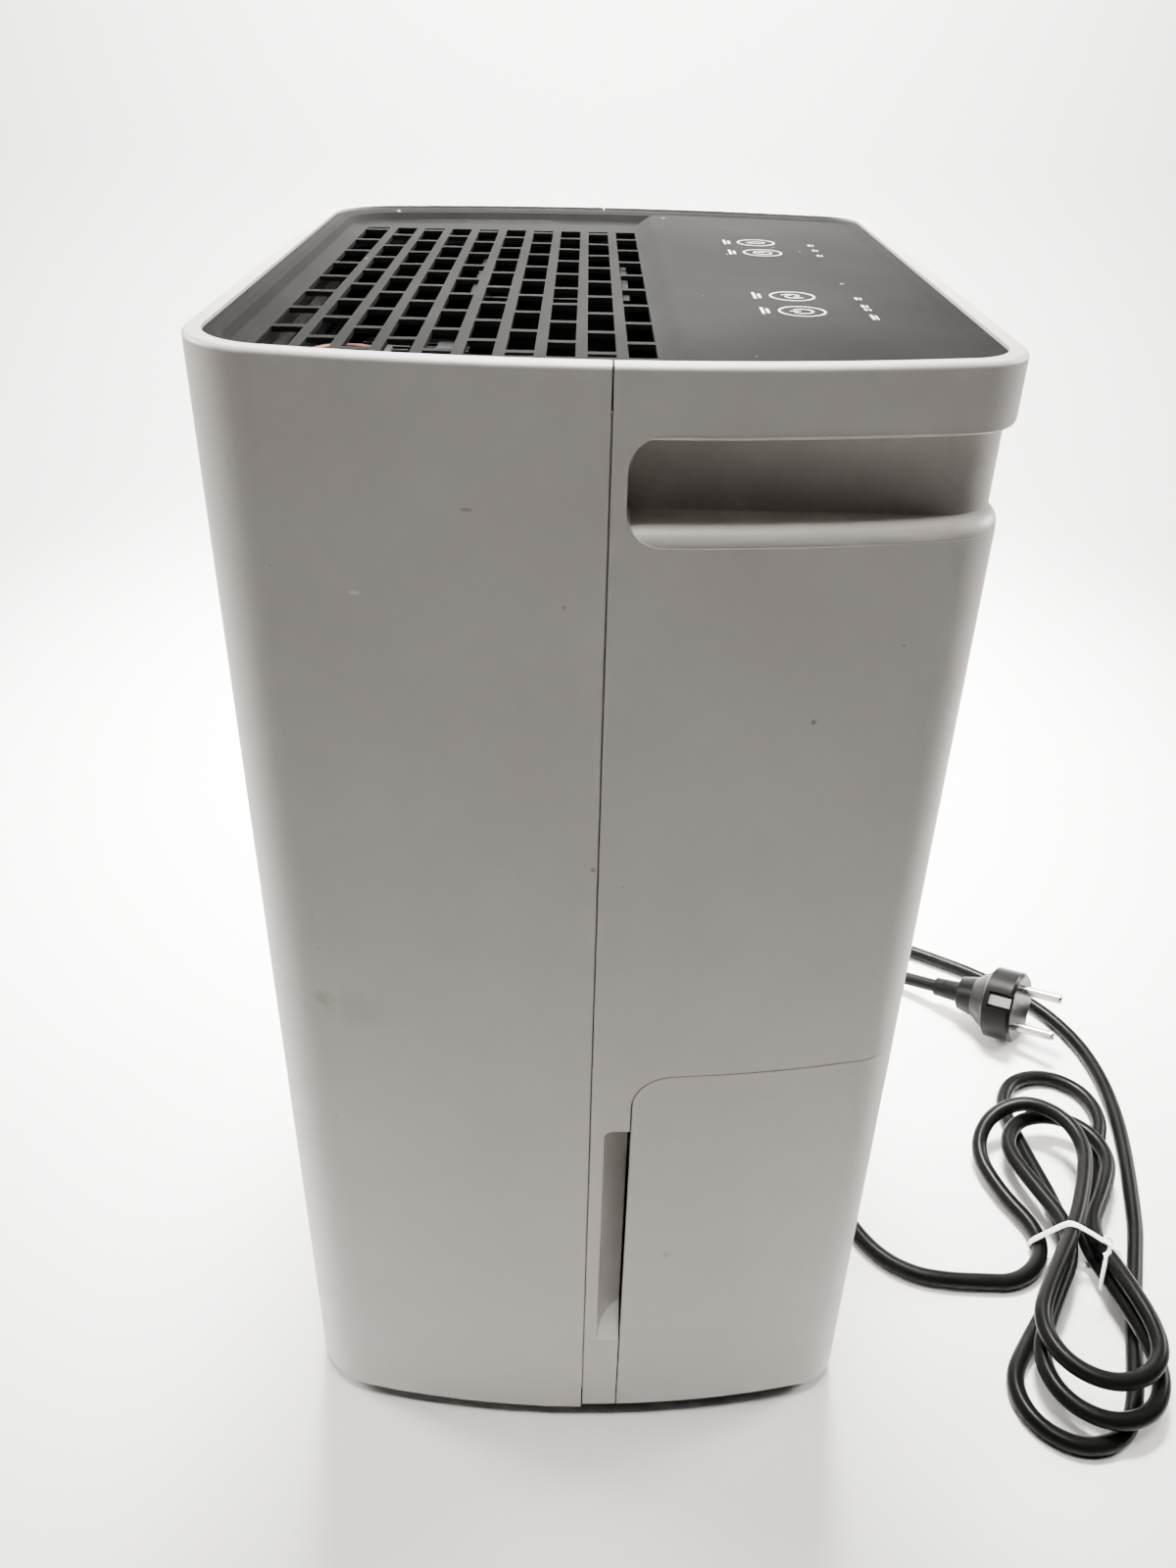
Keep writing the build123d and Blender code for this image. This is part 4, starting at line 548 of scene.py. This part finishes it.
def moulded(name, dark, light, rough, grain=2400, patch=28, bump=0.12, dust=(160, 0.15, 0.1),
            dust_tone=(0.5, 0.48, 0.44, 1), shine=0.5):
    """Plastic: two tones and a gloss by its patches, specks of dust, a fine bump by its grain."""
    material, tree, shader = new_finish(name)
    shader.inputs["Specular IOR Level"].default_value = shine
    surface = put(tree, "ShaderNodeGroup", node_tree=grain_group)
    surface.inputs["Grain"].default_value = grain
    surface.inputs["Patch"].default_value = patch
    specks = put(tree, "ShaderNodeGroup", node_tree=dust_group)
    for label, value in zip(("Cells", "Share", "Size"), dust):
        specks.inputs[label].default_value = value
    patches = surface.outputs["Patch"]
    tone = mixed(tree, ranged(tree, patches, 0.0, 1.0), (*dark, 1), (*light, 1))
    colour = mixed(tree, specks.outputs["Dust"], tone, dust_tone)
    tree.links.new(colour, shader.inputs["Base Color"])
    tree.links.new(ranged(tree, patches, rough[0], rough[1]), shader.inputs["Roughness"])
    bumped(tree, shader, surface.outputs["Grain"], bump, GRAIN_DEPTH)
    return material, tree, shader, colour


def dress(material, *names):
    """Put a material into every slot of the named nodes."""
    for name in names:
        for slot in nodes[name].material_slots:
            slot.material = material


# %% [markdown]
# ## White shell
# The shell carries the small chips, specks and the smear that handling has left on it, each a
# rubbed spot at its own place. Its inside is painted near black as painted shade, so that no light
# shows through the grille; the real inside is the same white plastic, lying in shade. A face is
# inside where its normal points back at the cabinet's upright axis.

# %% White shell with its marks of use and painted shade inside
SCUFFS = [
    ((-0.1233, 0.0312, 0.3553), (0.004, 0.0024, 0.0006), (0.42, 0.38, 0.35, 1)),
    ((-0.1200, 0.0596, 0.3326), (0.004, 0.0020, 0.0008), (0.98, 0.97, 0.95, 1)),
    ((-0.1204, -0.0563, 0.2995), (0.004, 0.0011, 0.0011), (0.25, 0.23, 0.22, 1)),
    ((-0.1245, -0.0006, 0.2543), (0.004, 0.0012, 0.0012), (0.25, 0.23, 0.22, 1)),
    ((-0.1187, 0.0672, 0.1973), (0.03, 0.014, 0.010), (0.60, 0.585, 0.53, 1)),
    ((-0.1195, 0.0790, 0.2000), (0.03, 0.004, 0.004), (0.52, 0.50, 0.42, 1)),
    ((-0.1234, -0.0294, 0.0930), (0.004, 0.0024, 0.0026), (0.52, 0.54, 0.56, 1)),
]
SHELL = dict(
    dark=(0.650, 0.618, 0.583), light=(0.705, 0.673, 0.637), rough=(0.36, 0.46), grain=2400,
    patch=22, bump=0.1, dust=(120, 0.05, 0.07), dust_tone=(0.42, 0.40, 0.38, 1),
)
# Painted shade: inward faces below the rim get a near-black tone in place of the shade inside the
# cabinet.
INWARD, SHADE_BELOW, INSIDE_SHADE = -0.03, 0.376, (0.03, 0.03, 0.029, 1)
white_shell, tree, shader, colour = moulded("white_shell", **SHELL)
for where, reach, tone in SCUFFS:
    rub = put(tree, "ShaderNodeGroup", {"Place": where, "Reach": reach}, node_tree=spot_group)
    colour = mixed(tree, rub.outputs["Spot"], colour, tone)
spot = put(tree, "ShaderNodeTexCoord").outputs
level = vectors(tree, "MULTIPLY", spot["Object"], (1, 1, 0))[0]
facing = vectors(tree, "DOT_PRODUCT", spot["Normal"], level)["Value"]
inward = maths(tree, "LESS_THAN", facing, INWARD)
height = put(tree, "ShaderNodeSeparateXYZ", {0: spot["Object"]}).outputs["Z"]
painted_inside_shade = maths(tree, "MULTIPLY", inward, maths(tree, "LESS_THAN", height, SHADE_BELOW))
tree.links.new(mixed(tree, painted_inside_shade, colour, INSIDE_SHADE), shader.inputs["Base Color"])
dress(white_shell, "rear_housing", "front_housing", "tank_cover")
tongues.data.materials.append(white_shell)
dress(moulded("white_grille", **SHELL)[0], "inlet_grille")
print("white shell with", len(SCUFFS), "marks")

# %% [markdown]
# ## Other mouldings
# The deck is dark and almost without shine. The mouldings inside are black, so that little
# shows behind the grille. The tank is milky, its float orange, and the feet are dull rubber.

# %% Dark deck, inner mouldings and milky tank
deck_plastic = moulded(
    "deck_plastic", (0.020, 0.0202, 0.0196), (0.027, 0.027, 0.026), (0.62, 0.72), 3000, 24, 0.08,
    (130, 0.20, 0.10), (0.26, 0.25, 0.24, 1), 0.001)[0]
dress(deck_plastic, "top_panel", "filter_frame")
black_plastic = moulded(
    "black_plastic", (0.006, 0.006, 0.006), (0.010, 0.010, 0.0095), (0.6, 0.74), 2000, 30, 0.16,
    (140, 0.2, 0.09), (0.06, 0.057, 0.054, 1), 0.06)[0]
dress(black_plastic, "base_pan", "inner_frame", "drip_tray", "fan_scroll", "level_sensor")
fan_plastic = moulded(
    "fan_plastic", (0.014, 0.015, 0.016), (0.022, 0.023, 0.025), (0.44, 0.56), 1600, 40, 0.1,
    (150, 0.3, 0.1), (0.12, 0.115, 0.10, 1), 0.3)[0]
dress(fan_plastic, "fan_wheel")
float_plastic = moulded(
    "float_plastic", (0.62, 0.14, 0.06), (0.72, 0.19, 0.08), (0.32, 0.42), 1500, 40, 0.08)[0]
dress(float_plastic, "tank_float")
tank_plastic = moulded(
    "tank_plastic", (0.46, 0.50, 0.52), (0.56, 0.60, 0.62), (0.18, 0.30), 1200, 20, 0.06,
    (110, 0.12, 0.12), (0.70, 0.72, 0.72, 1))[0]
dress(tank_plastic, "tank_bucket", "tank_lid")
rubber = moulded(
    "rubber", (0.020, 0.020, 0.020), (0.034, 0.033, 0.032), (0.72, 0.86), 1100, 60, 0.25,
    (200, 0.35, 0.14), (0.16, 0.15, 0.14, 1))[0]
dress(rubber, "rubber_feet", "compressor_mounts")
print("moulded finishes set")

# %% [markdown]
# ## Cord, plug, tie and ink
# The sheath is black PVC with a soft shine, and handling leaves dull places on it. The plug
# is moulded on from the same stuff. The tie's paper is matt white, and so is the deck's ink.

# %% Sheath, plug, paper strip and ink
sheath = moulded(
    "cord_sheath", (0.0025, 0.0027, 0.0026), (0.0042, 0.0044, 0.0042), (0.27, 0.36), 1400, 60, 0.05,
    (260, 0.10, 0.09), (0.03, 0.029, 0.028, 1), 0.06)[0]
cord.data.materials.append(sheath)
dress(sheath, "cord_gland", "plug_body", "cord_lead", "cord_hank", "cord_tail")
paper_strip = moulded(
    "paper_strip", (0.78, 0.78, 0.76), (0.88, 0.88, 0.86), (0.5, 0.62), 1800, 200, 0.2)[0]
tie.data.materials.append(paper_strip)
dress(paper_strip, "cord_tie")
ink = moulded("white_ink", (0.72, 0.72, 0.70), (0.80, 0.80, 0.78), (0.45, 0.55), 4000, 300, 0.05)[0]
marks.data.materials.append(ink)
print("cord, plug, tie and ink dressed")

# %% [markdown]
# ## Metals, paint and boards inside
# Behind the grilles are drawn copper pipes and fins, plated steel, and painted steel cans. The
# pipes and the fins get tones far darker than bare metal, as painted shade for the dim inside of
# the cabinet. The metals share the drawn lines, which change gloss more than colour.


# %% Metals
def metal(name, dark, light, rough, stretch, bump=0.08, patch=60):
    """Metal: tarnish by its patches, gloss by the lines of its making, a faint bump by them."""
    material, tree, shader = new_finish(name)
    shader.inputs["Metallic"].default_value = 1.0
    surface = put(tree, "ShaderNodeGroup", {"Patch": patch}, node_tree=grain_group)
    drawn = put(tree, "ShaderNodeGroup", {"Stretch": stretch}, node_tree=lines_group)
    lines = drawn.outputs["Lines"]
    tarnish = ranged(tree, surface.outputs["Patch"], 0.0, 1.0)
    tree.links.new(mixed(tree, tarnish, (*dark, 1), (*light, 1)), shader.inputs["Base Color"])
    tree.links.new(ranged(tree, lines, rough[0], rough[1]), shader.inputs["Roughness"])
    bumped(tree, shader, lines, bump, LINE_DEPTH)
    return material


steel = metal(
    "plated_steel", (0.30, 0.295, 0.285), (0.40, 0.39, 0.375), (0.30, 0.46), (900, 60, 900))
dress(steel, "housing_screws", "fan_shaft", "plug_earth")
nickel = metal("nickel", (0.66, 0.64, 0.60), (0.80, 0.78, 0.73), (0.14, 0.28), (900, 900, 60))
dress(nickel, "plug_pins")
# Painted shade: the copper and fin tones are set far below bare metal, in place of the shade inside
# the cabinet.
copper = metal(
    "copper", (0.070, 0.034, 0.021), (0.140, 0.067, 0.042), (0.42, 0.62), (500, 500, 80), 0.06, 90)
dress(copper, "evaporator_bends", "condenser_bends", "suction_elbow", "discharge_pipe",
      "suction_pipe", "capillary_tube")
fin_stock_painted_shade = metal(
    "fin_stock_painted_shade", (0.045, 0.046, 0.047), (0.080, 0.081, 0.082), (0.46, 0.62), (2600, 40, 40), 0.3)
dress(fin_stock_painted_shade, "evaporator", "condenser")
can = metal("capacitor_can", (0.30, 0.30, 0.30), (0.40, 0.40, 0.40), (0.34, 0.50), (900, 900, 40))
dress(can, "run_capacitor")
print("metals set")

# %% Paint and boards
TRACK_TONE, PAD_TONE = (0.05, 0.20, 0.09, 1), (0.22, 0.22, 0.21, 1)


def board_finish(name):
    """Circuit board: green lacquer with faint tracks, and tin spots on the cells of a pattern."""
    material, tree, shader, colour = moulded(
        name, (0.012, 0.075, 0.035), (0.020, 0.110, 0.050), (0.28, 0.40), 1500, 80)
    pattern = {"Cells": 230, "Share": 0.5, "Size": 0.5}
    pads = put(tree, "ShaderNodeGroup", pattern, node_tree=dust_group).outputs["Dust"]
    drawn = put(tree, "ShaderNodeGroup", {"Stretch": (700, 60, 700)}, node_tree=lines_group)
    tracks = ranged(tree, drawn.outputs["Lines"], 0.0, 0.5, 0.55, 0.6)
    lit = mixed(tree, tracks, colour, TRACK_TONE)
    tree.links.new(mixed(tree, pads, lit, PAD_TONE), shader.inputs["Base Color"])
    return material


dress(board_finish("circuit_board"), "touch_board", "power_board")
motor_paint = moulded(
    "motor_paint", (0.030, 0.030, 0.033), (0.045, 0.045, 0.048), (0.40, 0.52), 900, 40, 0.2)[0]
dress(motor_paint, "fan_motor")
compressor_paint = moulded(
    "compressor_paint", (0.012, 0.012, 0.013), (0.024, 0.024, 0.025), (0.22, 0.36), 700, 40, 0.2)[0]
dress(compressor_paint, "compressor", "accumulator")
print("paint and boards set")

# %% [markdown]
# ## Filter cloth
# The filter is an open net. Two sets of threads cross at right angles, so two wave patterns
# give the threads' height, and the holes between them are darker.

# %% Net of the filter
THREAD_SCALE, NET_DEPTH = 180.0, 0.0003
HOLE_TONE, THREAD_TONE = (0.012, 0.012, 0.012, 1), (0.09, 0.09, 0.09, 1)
net, tree, shader = new_finish("filter_net")
place = put(tree, "ShaderNodeTexCoord").outputs["Object"]
wave = {"Vector": place, "Scale": THREAD_SCALE}
threads = [put(tree, "ShaderNodeTexWave", wave, bands_direction=way) for way in "XZ"]
weave = maths(tree, "MAXIMUM", *(thread.outputs["Fac"] for thread in threads))
tone = mixed(tree, ranged(tree, weave, 0.0, 1.0, 0.5, 0.9), HOLE_TONE, THREAD_TONE)
tree.links.new(tone, shader.inputs["Base Color"])
tree.links.new(ranged(tree, weave, 0.9, 0.6, 0.3, 0.9), shader.inputs["Roughness"])
bumped(tree, shader, weave, 0.6, NET_DEPTH)
dress(net, "filter_mesh")
undressed = [name for name, node in nodes.items()
             if not any(slot.material for slot in node.material_slots)]
print("net set, undressed:", undressed)

# %% [markdown]
# ## Floor and backdrop
# The photograph shows the part on a white ground with the light behind. The floor bends up
# into a wall on the far side. Seen from other sides the floor would end in darkness, so its
# far part glows in a pale tone that only the camera sees, and it lights nothing.

# %% Floor
FLOOR_TONE, FAR_TONE = (0.88, 0.875, 0.86, 1), (0.95, 0.935, 0.915, 1)
FLOOR_ROUGH = 0.5
GLOW_FROM, GLOW_FULL = 0.45, 1.3
FLOOR_END, BEND_START, BEND_RADIUS, WALL_X = -3.0, 0.9, 0.3, 1.2
WALL_TOP, HALF_WIDTH, BEND_STEPS = 3.0, 3.4, 12


def backdrop_points():
    """Floor that bends into a wall: straight, a quarter circle, straight up, drawn along Y."""
    bend = np.linspace(0, math.pi / 2, BEND_STEPS)
    x = np.r_[FLOOR_END, BEND_START + BEND_RADIUS * np.sin(bend), WALL_X]
    z = np.r_[0.0, BEND_RADIUS - BEND_RADIUS * np.cos(bend), WALL_TOP]
    y = np.array((-HALF_WIDTH, HALF_WIDTH))
    return np.stack((np.repeat(x, 2), np.tile(y, len(x)), np.repeat(z, 2)), axis=1), len(x)


stage_points, stage_rows = backdrop_points()
floor = put_mesh("floor", stage_points, grid_faces(stage_rows, 2)[:, ::-1])
pale, tree, shader = new_finish("pale_floor")
shader.inputs["Base Color"].default_value = FLOOR_TONE
shader.inputs["Roughness"].default_value = FLOOR_ROUGH
place = put(tree, "ShaderNodeTexCoord").outputs["Object"]
far = ranged(tree, vectors(tree, "LENGTH", place)["Value"], 0.0, 1.0, GLOW_FROM, GLOW_FULL)
looked_at = put(tree, "ShaderNodeLightPath").outputs["Is Camera Ray"]
shown = maths(tree, "MULTIPLY", far, looked_at)
tree.links.new(mixed(tree, shown, (0, 0, 0, 1), FAR_TONE), shader.inputs["Emission Color"])
shader.inputs["Emission Strength"].default_value = 1.0
floor.data.materials.append(pale)
print("floor of", stage_rows, "rows")

# %% [markdown]
# ## Light
# The main lamp hangs high over the far side, so the rim is bright and the side that faces
# the camera lies in its own soft shade, which the floor brightens from below. A weak lamp
# lifts the near side, a small one the deck, and one lights the wall. Two from the sides
# brighten the front and back corners. The room is dim, but the camera sees it pale.

# %% Lamps
LAMP_TONE = (1.0, 0.975, 0.95)
LAMPS = [
    ("lamp_over", (0.60, 0.0, 1.5), (0.40, 0.0, 0.0), 0.45, 34, 44),
    ("lamp_near", (-0.26, 0.0, 1.7), (-0.12, 0.0, 0.3), 0.4, 1.0, 28),
    ("lamp_deck", (0.05, 0.0, 0.80), (-0.06, 0.0, 0.387), 0.12, 0.3, 26),
    ("lamp_wall", (0.6, 0.0, 1.5), (1.2, 0.0, 0.5), 0.8, 56, 90),
    ("lamp_back_side", (0.5, 1.2, 0.6), (0.15, 0.0, 0.15), 0.5, 5, 50),
    ("lamp_front_side", (0.5, -1.2, 0.6), (0.15, 0.0, 0.15), 0.5, 4, 50),
]


def soft_lamp(name, place, aim, size, watts, cone):
    """Square area lamp at a place, aimed at another, that shines within a cone in degrees."""
    data = bpy.data.lights.new(name, "AREA")
    data.size, data.energy, data.color = size, watts, LAMP_TONE
    data.spread = math.radians(cone)
    lamp = bpy.data.objects.new(name, data)
    lamp.location = place
    lamp.visible_camera = False
    lamp.rotation_euler = (Vector(place) - Vector(aim)).to_track_quat("Z", "Y").to_euler()
    bpy.context.collection.objects.link(lamp)


for lamp_values in LAMPS:
    soft_lamp(*lamp_values)
print(len(LAMPS), "lamps")

# %% Room
ROOM_TONE, ROOM_STRENGTH = (1.0, 0.90, 0.86, 1), 0.015
world = bpy.data.worlds.new("room")
bpy.context.scene.world = world
world.use_nodes = True
tree = world.node_tree
dim = tree.nodes["Background"]
dim.inputs["Color"].default_value = ROOM_TONE
dim.inputs["Strength"].default_value = ROOM_STRENGTH
seen = put(tree, "ShaderNodeBackground", {"Color": FAR_TONE, "Strength": 1.0})
looked_at = put(tree, "ShaderNodeLightPath").outputs["Is Camera Ray"]
sky = put(tree, "ShaderNodeMixShader", {0: looked_at, 1: dim.outputs[0], 2: seen.outputs[0]})
tree.links.new(sky.outputs[0], tree.nodes["World Output"].inputs["Surface"])
print("room set")
